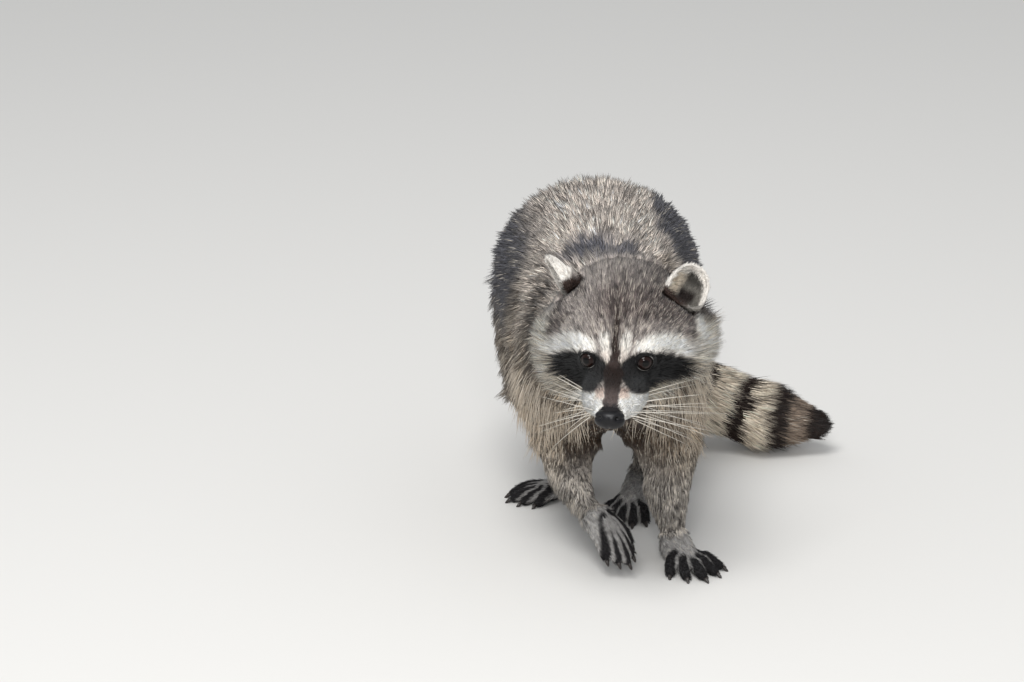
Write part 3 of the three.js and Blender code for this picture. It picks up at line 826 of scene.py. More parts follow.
def nearest_nodes(places):
    points, faces, owners = [], [], []
    for node in JOINED:
        mesh = nodes[node].data
        base = len(points)
        points += [v.co.copy() for v in mesh.vertices]
        faces += [tuple(base + i for i in p.vertices) for p in mesh.polygons]
        owners += [node] * len(mesh.polygons)
    tree = BVHTree.FromPolygons(points, faces)
    return np.array([owners[tree.find_nearest(Vector(p))[2]] for p in places])


def whole_body():
    bm = bmesh.new()
    for node in JOINED:
        bm.from_mesh(nodes[node].data)
    bmesh.ops.remove_doubles(bm, verts=bm.verts, dist=0.01 * MM)
    piece = link("skin", mesh_from(bm, "skin"))
    remesh = piece.modifiers.new("one_surface", "REMESH")
    remesh.mode = "VOXEL"
    remesh.voxel_size = VOXEL
    applied(piece)
    return piece


SOFTEN = {"head": 14, "muzzle": 5, "lower_jaw": 5, "paw": 2, "pad": 5}
SOFTEN_BODY, SOFTEN_LIMB = 80, 28
# Rounds of averaging over neighbours for what is kept at each vertex.
DEPTH_ROUNDS, TUFT_ROUNDS, LIE_ROUNDS, LIMB_ROUNDS, ELBOW_ROUNDS = 10, 24, 14, 6, 20
FLOOR_GAP = 0.3 * MM


def soften(web, places, regions):
    rounds = np.full(len(places), float(SOFTEN_BODY))
    for region, count in SOFTEN.items():
        rounds[regions == region] = count
    rounds[np.char.endswith(regions, "_lower")] = SOFTEN_LIMB
    rounds = web.relax(rounds, LIMB_ROUNDS)
    for step in range(SOFTEN_BODY):
        share = np.clip(rounds - step, 0, 1)[:, None]
        places = places + 0.5 * share * (web.mean(places) - places)
    return places


def coat_values(regions, owners, places):
    lies = np.zeros_like(places)
    for node in set(owners):
        mine = owners == node
        lies[mine] = lie_of(node, places[mine])
    return coat_table(regions), unit(lies)


def ruff(values, places, regions):
    """Fur that stands out on the cheeks, muzzle, inner fore leg and sides of the neck."""
    left, back, up = in_head(places).T
    side = np.abs(left)
    low = np.where(left > 0, smooth(14, -4, up), smooth(4, -14, up))
    cheek = smooth(34, 56, side) * low * smooth(42, 62, back)
    cheek = np.maximum(cheek, smooth(-20, -40, up) * smooth(44, 66, back)) * (regions == "head")
    muzzle = (regions == "muzzle") * smooth(14, 24, side) * smooth(24, 40, back)
    neck = (regions == "neck") * smooth(40, 75, side) * smooth(150, 100, back)
    x, z = places[:, 0] / MM - SIDE / MM, places[:, 2] / MM
    leg = np.isin(regions, ("fore_upper", "fore_lower")) * smooth(0, -12, x)
    leg *= smooth(-52, -30, x) * smooth(85, 105, z) * smooth(165, 140, z)
    # Each place's extra length, and extra degrees at a tuft's root and tip.
    for share, extras in (
        (cheek, (12, 8, 12)), (muzzle, (4, 10, 10)), (leg, (8, 8, 10)), (neck, (5, 8, 10)),
    ):
        for key, extra in zip(("length", "root", "tip"), extras):
            values[key] += extra * share


def shorten(values, near, depth, length):
    values["depth"] += near * (depth - values["depth"])
    values["length"] += near * (length - values["length"])


def thin_by_eyes_ears_and_arch(values, places):
    """Shortens the coat round the eyes, before the ears and on the arch between the fore legs."""
    for spot in eye_seats.values():
        near = smooth(19, 11, np.linalg.norm(places - spot, axis=1) / MM)
        shorten(values, near, 0.8, 3.4)
    for name in EARS:
        across, ahead, up = in_ear(name, places).T
        before = smooth(26, 18, np.abs(across)) * smooth(26, 14, ahead) * smooth(-16, -4, ahead)
        before *= smooth(34, 22, up)
        values["length"] *= 1 - 0.5 * before * (values["length"] < 15)
        values["tip"] *= 1 - 0.6 * before * (values["length"] < 15)
    shorten(values, by_arch(places), 7, 9)


# Each socket's radius, how much wider it is at its back, and how far round and out it reaches.
SOCKET_R, SOCKET_FLARE, SOCKET_TILT, SOCKET_REACH = 7.2, 4, 100, 16


def set_in_sockets(places):
    """Draws the skin in under each eye's lids."""
    for side, spot in eye_seats.items():
        _, reach, tilt = in_eye(side, places)
        tilt = np.degrees(tilt)
        limit = SOCKET_R + SOCKET_FLARE * smooth(60, SOCKET_TILT, tilt)
        close = (reach < SOCKET_REACH) & (tilt < SOCKET_TILT)
        shrink = np.where(close, np.minimum(1, limit / np.maximum(reach, 1e-9)), 1)
        places = spot + (places - spot) * shrink[:, None]
    return places


# The right hind heel is drawn in behind the fore leg, that paw lies flatter, and the right fore
# leg's elbow lies nearer the chest.
HEEL_X, HEEL_SHARE = NOSE_TIP[0] - 1 * MM, 0.4
PAW_TOP, PAW_SHARE = 10 * MM, 0.42
ELBOW_HEIGHT, ELBOW_REACH, ELBOW_MOVE = 105, 28, 7
EXTRA_DEPTHS = {"fore_right_lower": 3, "fore_right_upper": 2}
MOUTH_DEPTH = 1.6


def spread(web, owners, kinds, rounds):
    """1 on some nodes' part of the skin, softened over its edge."""
    return web.relax(np.isin(owners, kinds).astype(float), rounds)


def settle_limbs(web, places, owners):
    hind = spread(web, owners, ("hind_right_paw", "hind_right_lower"), LIMB_ROUNDS)
    places[:, 0] -= (1 - HEEL_SHARE) * np.maximum(places[:, 0] - HEEL_X, 0) * hind
    paw = spread(web, owners, ("hind_right_paw",), LIMB_ROUNDS)
    places[:, 2] -= (1 - PAW_SHARE) * np.maximum(places[:, 2] - PAW_TOP, 0) * paw
    elbow = spread(web, owners, ("fore_right_upper", "fore_right_lower"), ELBOW_ROUNDS)
    bend = np.exp(-(((places[:, 2] / MM - ELBOW_HEIGHT) / ELBOW_REACH) ** 2))
    places[:, 0] += ELBOW_MOVE * MM * bend * elbow
    return places


def mouth_line(web, places, regions):
    """The line between the jaws, to be sunk and darkened."""
    jaw = spread(web, regions, ("lower_jaw",), 3)
    return smooth(0.2, 0.5, jaw) * smooth(0.8, 0.5, jaw) * (in_head(places)[:, 1] < 55)


def build_body():
    skin = whole_body()
    mesh = skin.data
    web = Web(mesh)
    places = places_of(mesh)
    owners = nearest_nodes(places)
    regions = np.array([region_of(n) for n in owners])
    places = soften(web, settle_limbs(web, places, owners), regions)
    put(mesh, places)
    values, lies = coat_values(regions, owners, places)
    ruff(values, places, regions)
    thin_by_eyes_ears_and_arch(values, places)
    for node, extra in EXTRA_DEPTHS.items():
        values["depth"] += extra * (owners == node)
    x, _, z = (places / MM).T
    left_flank = smooth(SIDE / MM + 40, SIDE / MM + 62, x) * smooth(170, 215, z)
    values["depth"] -= 4 * left_flank * np.isin(regions, ("loin", "rump"))
    tail_tip = (regions == "tail") * smooth(225, 275, tail_place(places)[0])
    values["length"] *= 1 - 0.35 * tail_tip
    for key in values:
        values[key] = web.relax(values[key], DEPTH_ROUNDS if key == "depth" else TUFT_ROUNDS)
    lies = web.relax(lies, LIE_ROUNDS)
    mouth = mouth_line(web, places, regions)
    places = places - normals_of(mesh) * ((values["depth"] + MOUTH_DEPTH * mouth) * MM)[:, None]
    places = sink_under_ears(set_in_sockets(web.relax(places, 1)))
    places[:, 2] = np.maximum(places[:, 2], FLOOR_GAP)
    put(mesh, places)
    return skin, owners, regions, values, lies, mouth


def eyelids(side):
    bm = ball(48, 36)
    pole = [v for v in bm.verts if v.co.z > 0.9999]
    bmesh.ops.delete(bm, geom=pole, context="VERTS")
    for vert in bm.verts:
        tilt = acos(max(-1, min(1, vert.co.z)))
        turn = atan2(vert.co.y, vert.co.x)
        open_to = opening_at(turn)
        t = max(0.0, (tilt - FIRST_RING) / (pi - FIRST_RING))
        tilt = open_to + t**1.4 * (pi - open_to)
        fold = FOLD_DEPTH * dent([tilt - open_to], [FOLD_AT], [FOLD_REACH])
        margin = MARGIN_HEIGHT * dent([tilt - open_to], [0], [MARGIN_REACH])
        r = LID_R - fold + margin
        x, y = sin(tilt) * cos(turn), sin(tilt) * sin(turn)
        vert.co = Vector((x, y, cos(tilt))) * r
    thicken(bm, LID_WALL)
    set_down(bm, eye_seats[side], turned(eye_axes(side)))
    return mesh_from(bm, "lids_" + side)


def add_ears_and_lids(skin, owners, regions, values, lies):
    """Joins the ears and lids to the skin, and extends what is known at each of its vertices."""
    extras = [(n, ear_scoop(n)) for n in EARS] + [("lids_" + s, eyelids(s)) for s in eye_spots]
    bm = bmesh.new()
    bm.from_mesh(skin.data)
    for name, mesh in extras:
        bm.from_mesh(mesh)
        places, normals = places_of(mesh), normals_of(mesh)
        if name in EARS:
            ear, axes = EARS[name], ear_axes(name)[1]
            (across, ahead, up), faced = in_ear(name, places).T, normals @ axes.T
            medial, half, deep = ear["medial"], ear["half"], ear["deep"]
            outer = faced[:, 0] * across / half**2 + faced[:, 1] * ahead / deep**2 > 0
            found = np.where(outer, "ear_out", "ear_in")
            lie = axes[2] + 0.45 * across[:, None] / half * axes[0]
            tufted = (~outer) * smooth(3, 9, across * medial) * smooth(34, 24, up)
            rooted = outer * smooth(18, 8, up) * smooth(-2, -5, ahead)
            inward = axes[1] * 0.5 + axes[2] * 0.5 - axes[0] * medial
            lie = lie + tufted[:, None] * (inward - lie)
            tufted = np.maximum(tufted, rooted)
        else:
            side = name[5:]
            found = np.full(len(places), "lid")
            tufted = np.zeros(len(places))
            lie = unit(places - eye_seats[side]) - eye_axes(side)[2]
        owners = np.concatenate([owners, np.full(len(places), name)])
        regions = np.concatenate([regions, found])
        lies = np.concatenate([lies, unit(lie)])
        for key, more in coat_table(found).items():
            more += tufted * {"length": 6, "root": 12, "tip": 12}.get(key, 0)
            values[key] = np.concatenate([values[key], more])
    bm.to_mesh(skin.data)
    bm.free()
    return owners, regions, values, lies


skin, owners, regions, values, lies, mouth = build_body()
body_count = len(skin.data.vertices)
owners, regions, values, lies = add_ears_and_lids(skin, owners, regions, values, lies)
skin.data.shade_smooth()


# ---- materials ----
def add(made, kind, settings=None, **links):
    """Adds a node with its settings, and sets or links its inputs by name."""
    node = made.node_tree.nodes.new(kind)
    for key, value in (settings or {}).items():
        setattr(node, key, value)
    for key, value in links.items():
        socket = node.inputs[key.replace("_", " ")]
        if isinstance(value, bpy.types.NodeSocket):
            made.node_tree.links.new(value, socket)
        else:
            socket.default_value = value
    return node


def set_sockets(shader, **sockets):
    for key, value in sockets.items():
        shader.inputs[key.replace("_", " ")].default_value = value


def surface(made):
    return made.node_tree.nodes["Principled BSDF"]


def material(name, colour=None, **sockets):
    """A material of one colour, or else coloured by the markings kept on its mesh."""
    made = bpy.data.materials.new(name)
    made.use_nodes = True
    shader = surface(made)
    set_sockets(shader, **sockets)
    if colour:
        set_sockets(shader, Base_Color=(*linear(colour), 1))
    else:
        layer = add(made, "ShaderNodeVertexColor", {"layer_name": "marking"})
        made.node_tree.links.new(layer.outputs["Color"], shader.inputs["Base Color"])
    return made


def paint(mesh, colours):
    layer = mesh.color_attributes.new("marking", "FLOAT_COLOR", "POINT")
    flat = np.ones((len(colours), 4), np.float32)
    flat[:, :3] = colours
    layer.data.foreach_set("color", flat.ravel())


# Painted shade between the tufts, over the fur's darker underfur.
# Underfur and tufts' roots keep these shares of their brightness, and more where they are pale.
UNDERFUR_SHADE, ROOT_SHADE, SHADE_SPARED = 0.55, 0.5, 0.4
MOUTH_SHADE = 0.9

# Underfur and bare skin: soft and matt, darker than the guard hairs above it.
underfur = material("underfur", Roughness=0.85, Specular_IOR_Level=0.2)

# Guard hairs: keratin with a faint gloss along each lock and a soft bloom at the edges.
guard_hair = material(
    "guard_hair", Roughness=0.62, Specular_IOR_Level=0.15, Sheen_Weight=0.07, Sheen_Roughness=0.5
)

skin_colours, _ = markings(places_of(skin.data), regions)
# Painted shade on the underfur, between the tufts.
skin_colours *= UNDERFUR_SHADE + SHADE_SPARED * skin_colours.mean(1, keepdims=True)
skin_colours[:body_count] *= (1 - MOUTH_SHADE * mouth)[:, None]
paint(skin.data, skin_colours)
skin.data.materials.append(underfur)
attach(skin, "root")
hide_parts(*FLESH)

# ---- coat: thin closed tufts joined into pieces by region ----
BENT, STRAIGHT = "bent", "straight"
COAT_PIECES = {
    "coat_crown": (("head",), 44000, STRAIGHT),
    "coat_face": (("muzzle", "lower_jaw"), 26000, STRAIGHT),
    "coat_ears": (("ear_out", "ear_in"), 12000, STRAIGHT),
    "coat_lids": (("lid",), 2600, STRAIGHT),
    "coat_neck": (("neck",), 26000, BENT),
    "coat_chest": (("chest",), 20000, BENT),
    "coat_loin": (("loin",), 27000, BENT),
    "coat_rump": (("rump",), 28000, BENT),
    "coat_fore_legs": (("fore_upper", "fore_lower"), 28000, BENT),
    "coat_hind_legs": (("hind_upper", "hind_lower"), 18000, BENT),
    "coat_paws": (("paw",), 18000, STRAIGHT),
    "coat_tail": (("tail",), 24000, BENT),
}
# A bent tuft has a root, a ring of three and a tip. A straight one has a ring of three and a tip.
# For each point, tones picks the root's, belly's or tip's colour, and patch is its place on the
# unwrap. sink is how deep a root starts in the skin, in millimetres.
TUFTS = {
    BENT: dict(
        faces=[[0, 2, 1], [0, 3, 2], [0, 1, 3], [4, 1, 2], [4, 2, 3], [4, 3, 1]],
        tones=[0, 1, 1, 1, 2], patch=[[0, 0], [-0.5, 0.5], [0, 0.5], [0.5, 0.5], [0, 1]], sink=0.8,
    ),
    STRAIGHT: dict(
        faces=[[0, 2, 1], [3, 0, 1], [3, 1, 2], [3, 2, 0]],
        tones=[1, 1, 1, 2], patch=[[-0.5, 0], [0, 0], [0.5, 0], [0, 1]], sink=0.25,
    ),
}
# Where along a tuft it bends, and how much its length, width, and steepness at root and tip vary.
BEND_AT = 0.45
LENGTHS, WIDTHS, ROOT_LIFTS, TIP_LIFTS = (0.7, 1.25), (0.75, 1.3), (0.7, 1.3), (0.2, 1.8)
LOCK_SPREAD = 8 * MM
PATCH = 0.003


skin_places = places_of(skin.data)
skin_normals = normals_of(skin.data)
skin.data.calc_loop_triangles()
skin_faces = read(skin.data.loop_triangles, "vertices", 3, np.int32)
corner_places = skin_places[skin_faces]
first, second, third = corner_places.transpose(1, 0, 2)
face_cross = np.cross(second - first, third - first)
face_areas = np.linalg.norm(face_cross, axis=1) / 2
face_downs = -face_cross[:, 2] / np.maximum(2 * face_areas, 1e-12)
face_middles = corner_places.mean(1)


def blended(table, corners, weights):
    return (table[corners] * weights.reshape(weights.shape + (1,) * (table.ndim - 1))).sum(1)


PAD_MIDDLE, PAD_RADII = (0, 5, -3), (13.4, 8.6, 10.4)
SOLE_HEIGHT = 1.2 * MM


def bare(places, head_only):
    """Where no tuft grows: the eyes' openings, the nose pad, the ears' hollows and the soles."""
    out = places[:, 2] < SOLE_HEIGHT
    for side in eye_spots:
        _, reach, tilt = in_eye(side, places)
        out |= (reach < 8) | ((reach < 11) & (tilt < OPEN_WIDE + radians(6)))
    out |= np.linalg.norm((in_head(places) - PAD_MIDDLE) / PAD_RADII, axis=1) < 1.03
    for name in EARS:
        out |= head_only & (in_scoop(name, places) > 0.5)
    return out


def roots_on(kinds, count):
    """Random roots on the skin of some regions, with all that is known there."""
    corner = skin_faces[:, 0]
    weights = face_areas * np.isin(regions[corner], kinds) / values["length"][corner] ** 0.8
    weights = weights * (1 - 0.6 * smooth(0.3, 0.8, face_downs))
    weights = weights * ~bare(face_middles, np.isin(regions[corner], ("head", "neck")))
    chosen = np.searchsorted(np.cumsum(weights) / weights.sum(), rng.random(count))
    u, v = rng.random((2, count))
    flip = u + v > 1
    u, v = np.where(flip, 1 - u, u), np.where(flip, 1 - v, v)
    bary = np.stack([1 - u - v, u, v], axis=1)
    corners = skin_faces[chosen]
    tables = dict(values, place=skin_places, normal=skin_normals, lie=lies)
    found = {k: blended(t, corners, bary) for k, t in tables.items()}
    found["normal"] = unit(found["normal"])
    found["region"], found["owner"] = regions[corners[:, 0]], owners[corners[:, 0]]
    return found


SHAGGY = ("neck", "chest", "fore_upper", "hind_upper")
TUFTS_A_LOCK = 14


def lock_tips(places, tips, kinds):
    """Draws each tip towards the tip of the nearest lock, most of all where the coat is shaggy."""
    leaders = rng.choice(len(places), max(1, len(places) // TUFTS_A_LOCK), replace=False)
    tree = KDTree(len(leaders))
    for i in leaders:
        tree.insert(places[i], int(i))
    tree.balance()
    nearest = np.array([tree.find(p)[1] for p in places])
    gap = np.linalg.norm(places - places[nearest], axis=1)
    share = np.where(np.isin(kinds, SHAGGY), 0.78, 0.5)
    pull = (share * np.exp(-((gap / LOCK_SPREAD) ** 2)))[:, None]
    offset = (places - places[nearest]) * 0.35
    return tips + pull * (tips[nearest] + offset - tips), nearest


def unwrap(owner, places):
    """Where roots lie on an unwrap of the skin: round and along each part, parts side by side."""
    parts = sorted(set(owner))
    flat = np.zeros((len(places), 2))
    for i, part in enumerate(parts):
        mine = owner == part
        here = places[mine]
        low, high = here.min(0), here.max(0)
        ways = unit(here - (low + high) / 2)
        axis = int(np.argmax(high - low))
        others = [k for k in range(3) if k != axis]
        turn = np.arctan2(ways[:, others[0]], ways[:, others[1]]) / (2 * pi) + 0.5
        rise = np.arccos(np.clip(ways[:, axis], -1, 1)) / pi
        flat[mine, 0] = (i + 0.01 + 0.98 * turn) / len(parts)
        flat[mine, 1] = 0.01 + 0.98 * rise
    return flat


CREAM_TICK, BLACK_TICK, TICK_SHARE = "#dcd2c3", "#2b2420", 0.24
DARK_TIP_SHARE, DARK_TIP, PALE_TIP, BRIGHTEST = 0.3, 0.4, 1.1, 0.96


def shades(found, spots, leader):
    """Each tuft's colour at its root, belly and tip."""
    count = len(spots)
    base, grizzle = markings(spots, found["region"])
    lock_tone = rng.normal(0, 1, count)[leader]
    own_tone = rng.normal(0, 1, count)
    tone = 1 + (0.05 + 0.15 * grizzle) * lock_tone + (0.05 + 0.10 * grizzle) * own_tone
    belly = base * np.clip(tone, 0.1, 2)[:, None]
    chance = np.clip(rng.random(count) + 0.12 * lock_tone, 0.001, 0.999)
    ticked = np.clip(grizzle - 0.35, 0, 1.4)
    belly = over(belly, BLACK_TICK, 0.75 * (chance < TICK_SHARE * ticked))
    belly = over(belly, CREAM_TICK, 0.65 * (chance > 1 - TICK_SHARE * ticked))
    # Painted shade at each tuft's root, deep in the coat.
    root = belly * (ROOT_SHADE + SHADE_SPARED * belly.mean(1, keepdims=True))
    dark_tip = rng.random(count) < DARK_TIP_SHARE * grizzle
    tip = belly * np.where(dark_tip, DARK_TIP, PALE_TIP)[:, None]
    return np.clip(np.stack([root, belly, tip], axis=1), 0, BRIGHTEST)


def coat(name, kinds, count, shape):
    found = roots_on(kinds, count)
    n = found["normal"]
    lie = found["lie"] + rng.normal(0, 0.10, (count, 3))
    lie = unit(lie - (lie * n).sum(1)[:, None] * n)
    length = (found["length"] * rng.uniform(*LENGTHS, count) * MM)[:, None]
    width = found["width"] * rng.uniform(*WIDTHS, count) * MM * 1
    lift_root = np.radians(found["root"] * rng.uniform(*ROOT_LIFTS, count))[:, None]
    lift_tip = np.radians(found["tip"] * rng.uniform(*TIP_LIFTS, count))[:, None]
    place = found["place"]
    belly = place + (lie * np.cos(lift_root) + n * np.sin(lift_root)) * BEND_AT * length
    tip = belly + (lie * np.cos(lift_tip) + n * np.sin(lift_tip)) * (1 - BEND_AT) * length
    tip, leader = lock_tips(place, tip, found["region"])
    across = unit(np.cross(lie, n))
    up = unit(np.cross(across, lie))
    half = (0.5 * width)[:, None]
    colours = shades(found, (belly + tip) / 2, leader)
    tuft = TUFTS[shape]
    root = place - n * (tuft["sink"] * MM)
    if shape == BENT:
        points = [root, belly - across * half, belly + up * half * 0.7, belly + across * half, tip]
    else:
        points = [root - across * half, root + up * half * 0.9, root + across * half, tip]
    points = np.stack(points, axis=1)
    points[:, :, 2] = np.maximum(points[:, :, 2], FLOOR_GAP)
    spots = unwrap(found["owner"], place)
    tones = colours[:, tuft["tones"]]
    hair_piece(name, points, tuft["faces"], tones, spots, tuft["patch"], guard_hair)


def hair_piece(name, points, faces, tones, spots, patch, matter):
    """One piece of joined hairs, each with the same faces and the same patch of the unwrap."""
    count, size = points.shape[:2]
    faces = (np.array(faces)[None] + size * np.arange(count)[:, None, None]).reshape(-1, 3)
    corners = (spots[:, None] + np.array(patch)[None] * PATCH).reshape(-1, 2)[faces.ravel()]
    mesh = bpy.data.meshes.new(name)
    mesh.vertices.add(count * size)
    mesh.loops.add(faces.size)
    mesh.loops.foreach_set("vertex_index", faces.astype(np.int32).ravel())
    mesh.polygons.add(len(faces))
    mesh.polygons.foreach_set("loop_start", np.arange(0, faces.size, 3, dtype=np.int32))
    mesh.polygons.foreach_set("loop_total", np.full(len(faces), 3, np.int32))
    mesh.vertices.foreach_set("co", points.astype(np.float32).ravel())
    mesh.update(calc_edges=True)
    paint(mesh, tones.reshape(-1, 3))
    layer = mesh.uv_layers.new(name="OFBake")
    layer.uv.foreach_set("vector", corners.astype(np.float32).ravel())
    mesh.materials.append(matter)
    piece = link(name, mesh)
    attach(piece, "root")


for name, (kinds, count, shape) in COAT_PIECES.items():
    coat(name, kinds, count, shape)

# ---- long hairs: whiskers, and the longest locks of the ruff and chest ----
WHISKER_RINGS, LOCK_RINGS = 9, 5


def long_hairs(name, rings, starts, ways, sags, lengths, widths, colours, matter):
    """Round hairs of many short lengths, tapering, each bowed by its own sag."""
    count = len(starts)
    t = np.linspace(0, 1, rings + 1)[None, :, None]
    line = starts[:, None] + ways[:, None] * t * lengths[:, None, None]
    line = line + sags[:, None] * t**2 * lengths[:, None, None]
    across = unit(np.cross(ways, sags))
    over_way = unit(np.cross(across, ways))
    radius = 0.5 * widths[:, None, None] * (1 - 0.8 * t[:, :-1] ** 1.5)
    ring = []
    for k in range(3):
        turn = 2 * pi * k / 3
        out = across * cos(turn) + over_way * sin(turn)
        ring.append(line[:, :-1] + out[:, None] * radius)
    body = np.stack(ring, axis=2).reshape(count, rings * 3, 3)
    points = np.concatenate([body, line[:, -1:]], axis=1)
    faces = [[0, 1, 2]]
    for i in range(rings - 1):
        for k in range(3):
            a, b = 3 * i + k, 3 * i + (k + 1) % 3
            faces += [[a, a + 3, b], [b, a + 3, b + 3]]
    last = 3 * (rings - 1)
    faces += [[last + k, last + 3, last + (k + 1) % 3] for k in range(3)]
    tones = np.repeat(colours, rings * 3 + 1, axis=0)
    rise = np.concatenate([np.repeat(np.linspace(0, 0.9, rings), 3), [1]])
    aside = np.concatenate([np.tile([-0.4, 0, 0.4], rings), [0]])
    patch = np.stack([aside, rise], axis=1)
    hair_piece(name, points, faces, tones, unwrap(np.full(count, name), starts), patch, matter)


# Whiskers: stiff, smooth hairs with a clear gloss.
whisker_hair = material("whisker", Roughness=0.35)

WHISKERS_A_SIDE, LOCKS = 17, 2250


def whiskers():
    starts, ways, sags, lengths = [], [], [], []
    for sign in (1, -1):
        for i in range(WHISKERS_A_SIDE):
            row, column = i % 4, i // 4
            back = 12 + 5.0 * column + rng.uniform(-1, 1)
            up = -3 - 3.6 * row + rng.uniform(-0.6, 0.6)
            side = 15 + 0.55 * column * 3 + 1.5 * row
            starts.append(from_head(sign * side, back, up))
            fan = -0.35 - 0.38 * row + rng.uniform(-0.12, 0.12)
            sweep = 0.35 + 0.13 * column + rng.uniform(-0.1, 0.1)
            ways.append(way_from_head(sign * 0.95, sweep, fan))
            sags.append(way_from_head(sign * 0.1, 0.5, -0.8) * rng.uniform(0.25, 0.5))
            lengths.append(rng.uniform(58, 96) * MM)
    starts, ways, sags, lengths = map(np.array, (starts, ways, sags, lengths))
    count = len(starts)
    colours = np.clip(even(WHISKER_CREAM, count) * rng.uniform(0.8, 1.05, (count, 1)), 0, 1)
    widths = rng.uniform(0.75, 0.95, count) * MM
    shape = (starts, ways, sags, lengths, widths)
    long_hairs("whiskers", WHISKER_RINGS, *shape, colours, whisker_hair)


whiskers()


def ruff_locks(count):
    """Long pale guard hairs on the ruff, throat, chest and tops of the fore legs."""
    found = roots_on(("neck", "chest", "fore_upper"), count * 5)
    x, y, z = (found["place"] / MM).T
    left = x - SIDE / MM
    fits = (y < -45) & (z < 200) & (z > 80) & (by_arch(found["place"]) < 0.1) & (left > -74)
    fits &= (np.abs(left) > 30) | (z > 175)
    keep = np.flatnonzero(fits)[:count]
    n, place = found["normal"][keep], found["place"][keep]
    lie = unit(found["lie"][keep] + (0, -0.25, -0.7) + rng.normal(0, 0.16, (len(keep), 3)))
    lie = unit(lie - (lie * n).sum(1)[:, None] * n)
    ways = unit(lie + n * rng.uniform(0.25, 0.5, (len(keep), 1)))
    sags = unit(-n * 0.5 + (0, 0, -1) + rng.normal(0, 0.3, ways.shape)) * 0.3
    lengths = rng.uniform(26, 44, len(keep)) * (0.65 + 0.35 * smooth(105, 165, z[keep])) * MM
    base, _ = markings(place, found["region"][keep])
    colours = over(base, LOCK_CREAM, rng.uniform(0.2, 0.9, len(keep)))
    widths = rng.uniform(0.8, 1.1, len(keep)) * MM
    long_hairs("coat_locks", LOCK_RINGS, place, ways, sags, lengths, widths, colours, guard_hair)


ruff_locks(LOCKS)

# ---- eyes: dark brown round a wide pupil, under one wet surface that gives a small glint ----
IRIS_TILT, PUPIL_TILT, CORNEA_BULGE = radians(44), radians(21), 0.05
wet_eye = material("wet_eye", Roughness=0.03, IOR=1.376, Specular_IOR_Level=0.35)


def eye(side):
    bm = ball(64, 48, EYE_R)
    tilts = []
    for vert in bm.verts:
        tilts.append(acos(max(-1, min(1, vert.co.z / EYE_R))))
        vert.co *= 1 + CORNEA_BULGE * max(0.0, 1 - (tilts[-1] / IRIS_TILT) ** 2)
    set_down(bm, eye_seats[side], turned(eye_axes(side)))
    piece = smooth_piece("eyeball_" + side, bm, wet_eye)
    tilts = np.array(tilts)
    paint(piece.data, laid(even(EYE_RIM, len(tilts)), [
        (IRIS_BROWN, smooth(IRIS_TILT + 0.03, IRIS_TILT - 0.03, tilts)),
        (PUPIL_BLACK, smooth(PUPIL_TILT + 0.04, PUPIL_TILT - 0.04, tilts)),
    ]))
    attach(piece, "root")
    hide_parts("eye_" + side)


for side in eye_spots:
    eye(side)

# ---- nose pad: a broad wet pad with a nostril each side of a middle groove ----
# Nose leather: near black and a little glossy, with 0.9 mm pebbles that break up its shine.
nose_leather = material(
    "nose_leather", NOSE_BLACK, Roughness=0.38, IOR=1.45, Specular_IOR_Level=0.4
)
grit = add(nose_leather, "ShaderNodeTexCoord").outputs["Object"]
pebbles = add(
    nose_leather, "ShaderNodeTexVoronoi", {"feature": "F1"}, Scale=1 / (0.9 * MM), Vector=grit
)
bumps = add(
    nose_leather, "ShaderNodeBump", Strength=0.25, Distance=0.15 * MM,
    Height=pebbles.outputs["Distance"],
)
nose_leather.node_tree.links.new(bumps.outputs["Normal"], surface(nose_leather).inputs["Normal"])


# The pad is tipped up, so that its nostrils face forwards though the head hangs.
PAD_TILT, PAD_ROUND = radians(35), 9.5


def nose_pad():
    bm = ball(72, 48)
    for vert in bm.verts:
        side, back, up = vert.co
        aside = abs(side)
        top = up if up < 0 else up * (1 - 0.18 * up)
        broad = 1 + 0.10 * smooth(-0.1, -0.7, up)
        nostril = dent((aside, up), (0.64, 0.25), (0.15, 0.2)) * (back < 0)
        wing = dent((aside, up), (0.88, 0.08), (0.12, 0.12)) * (back < 0.35)
        groove = dent((side,), (0,), (0.07,)) * smooth(0.55, 0.1, up) * (back < 0)
        place = Vector((side * broad * PAD_RADII[0], back * PAD_ROUND, top * PAD_ROUND))
        vert.co = place * (1 - 0.42 * nostril - 0.20 * wing - 0.08 * groove)
    axes = dict(use_axis_x=True, use_axis_y=True, use_axis_z=True)
    bmesh.ops.smooth_vert(bm, verts=bm.verts, factor=0.4, **axes)
    turn = turned(HEAD_AXES) @ Matrix.Rotation(-PAD_TILT, 4, "X")
    set_down(bm, from_head(*PAD_MIDDLE), turn)
    piece = smooth_piece("nose_pad", bm, nose_leather)
    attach(piece, "root")
    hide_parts("nose")


nose_pad()

# ---- claws: curved horn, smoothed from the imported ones, dark with a soft shine ----
claw_horn = material("claw_horn", CLAW_BROWN, Roughness=0.42)


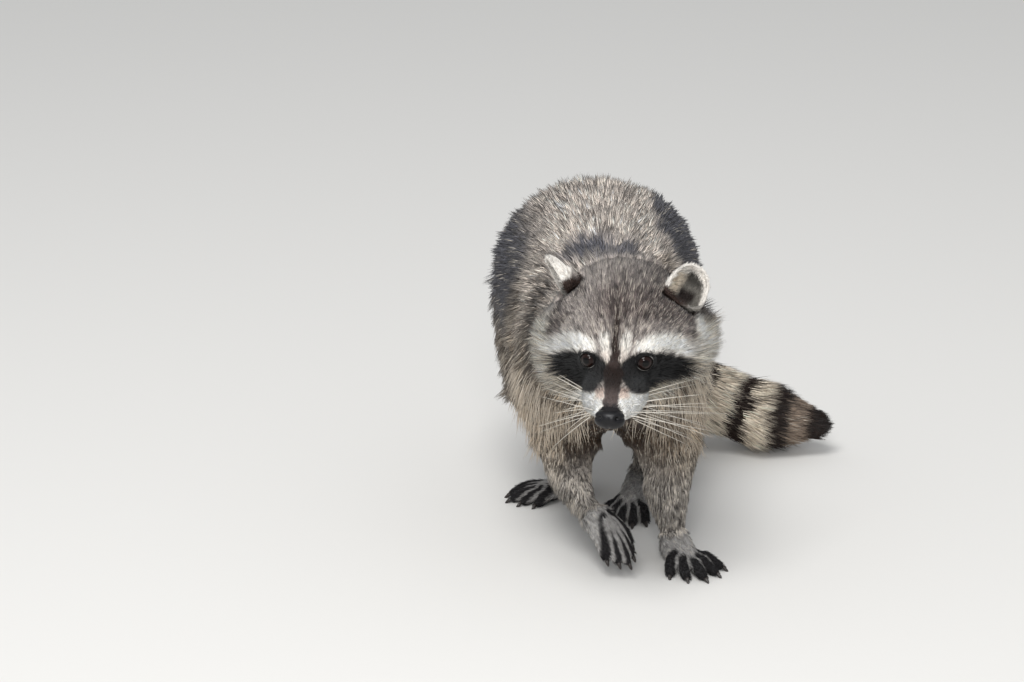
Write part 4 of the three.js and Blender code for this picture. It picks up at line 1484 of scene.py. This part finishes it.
def claws():
    bm = bmesh.new()
    for claw in CLAWS:
        bm.from_mesh(nodes[claw].data)
    bmesh.ops.remove_doubles(bm, verts=bm.verts, dist=0.01 * MM)
    bmesh.ops.subdivide_edges(bm, edges=bm.edges[:], cuts=2, use_grid_fill=True, smooth=1.0)
    piece = smooth_piece("claws", bm, claw_horn)
    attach(piece, "root")
    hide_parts(*CLAWS)


claws()


# ---- floor, light and camera ----
# Each lamp: its place and size in metres, and its power in watts.
LAMPS = {
    "sky_panel": ((-0.7, -1.6, 3.3), 1.7, 88),
    "front_panel": ((-0.5, -3.7, 2.3), 1.0, 54),
}
LAMP_AIM, SKY_STRENGTH, FLOOR_HALF = (0, 0, 0.15), 0.62, 12
# Where the camera stands from the nose tip, in millimetres, and the way it looks.
CAMERA_STAND = np.array([-313.3, -3071.2, 1104.5])
LOOK_TURN, LOOK_DOWN, LENS, SENSOR = radians(-4.296), radians(18.5005), 135, 36


def aimed(way):
    return Vector(way).to_track_quat("-Z", "Y").to_euler()


def stage():
    bm = bmesh.new()
    bmesh.ops.create_grid(bm, x_segments=1, y_segments=1, size=FLOOR_HALF)
    ground = link("floor", mesh_from(bm, "floor"))
    # Studio paper: pale, matt and even.
    studio_paper = material("studio_paper", PAPER, Roughness=0.9, Specular_IOR_Level=0.1)
    ground.data.materials.append(studio_paper)


def light():
    for name, (place, size, power) in LAMPS.items():
        data = bpy.data.lights.new(name, "AREA")
        data.size, data.energy = size, power
        lamp = link(name, data)
        lamp.location = place
        lamp.rotation_euler = aimed(Vector(LAMP_AIM) - Vector(place))
    world = bpy.data.worlds.new("studio")
    bpy.context.scene.world = world
    world.use_nodes = True
    sky = world.node_tree.nodes["Background"]
    set_sockets(sky, Color=(*linear(SKY), 1), Strength=SKY_STRENGTH)


def watch():
    data = bpy.data.cameras.new("camera")
    data.lens, data.sensor_width = LENS, SENSOR
    data.clip_start, data.clip_end = 0.1, 50
    camera = link("camera", data)
    camera.location = NOSE_TIP + CAMERA_STAND * MM
    camera.rotation_euler = aimed(way_at(LOOK_TURN, LOOK_DOWN) * (1, -1, 1))
    bpy.context.scene.camera = camera
    bpy.context.scene.view_settings.view_transform = "Standard"


stage()
light()
watch()
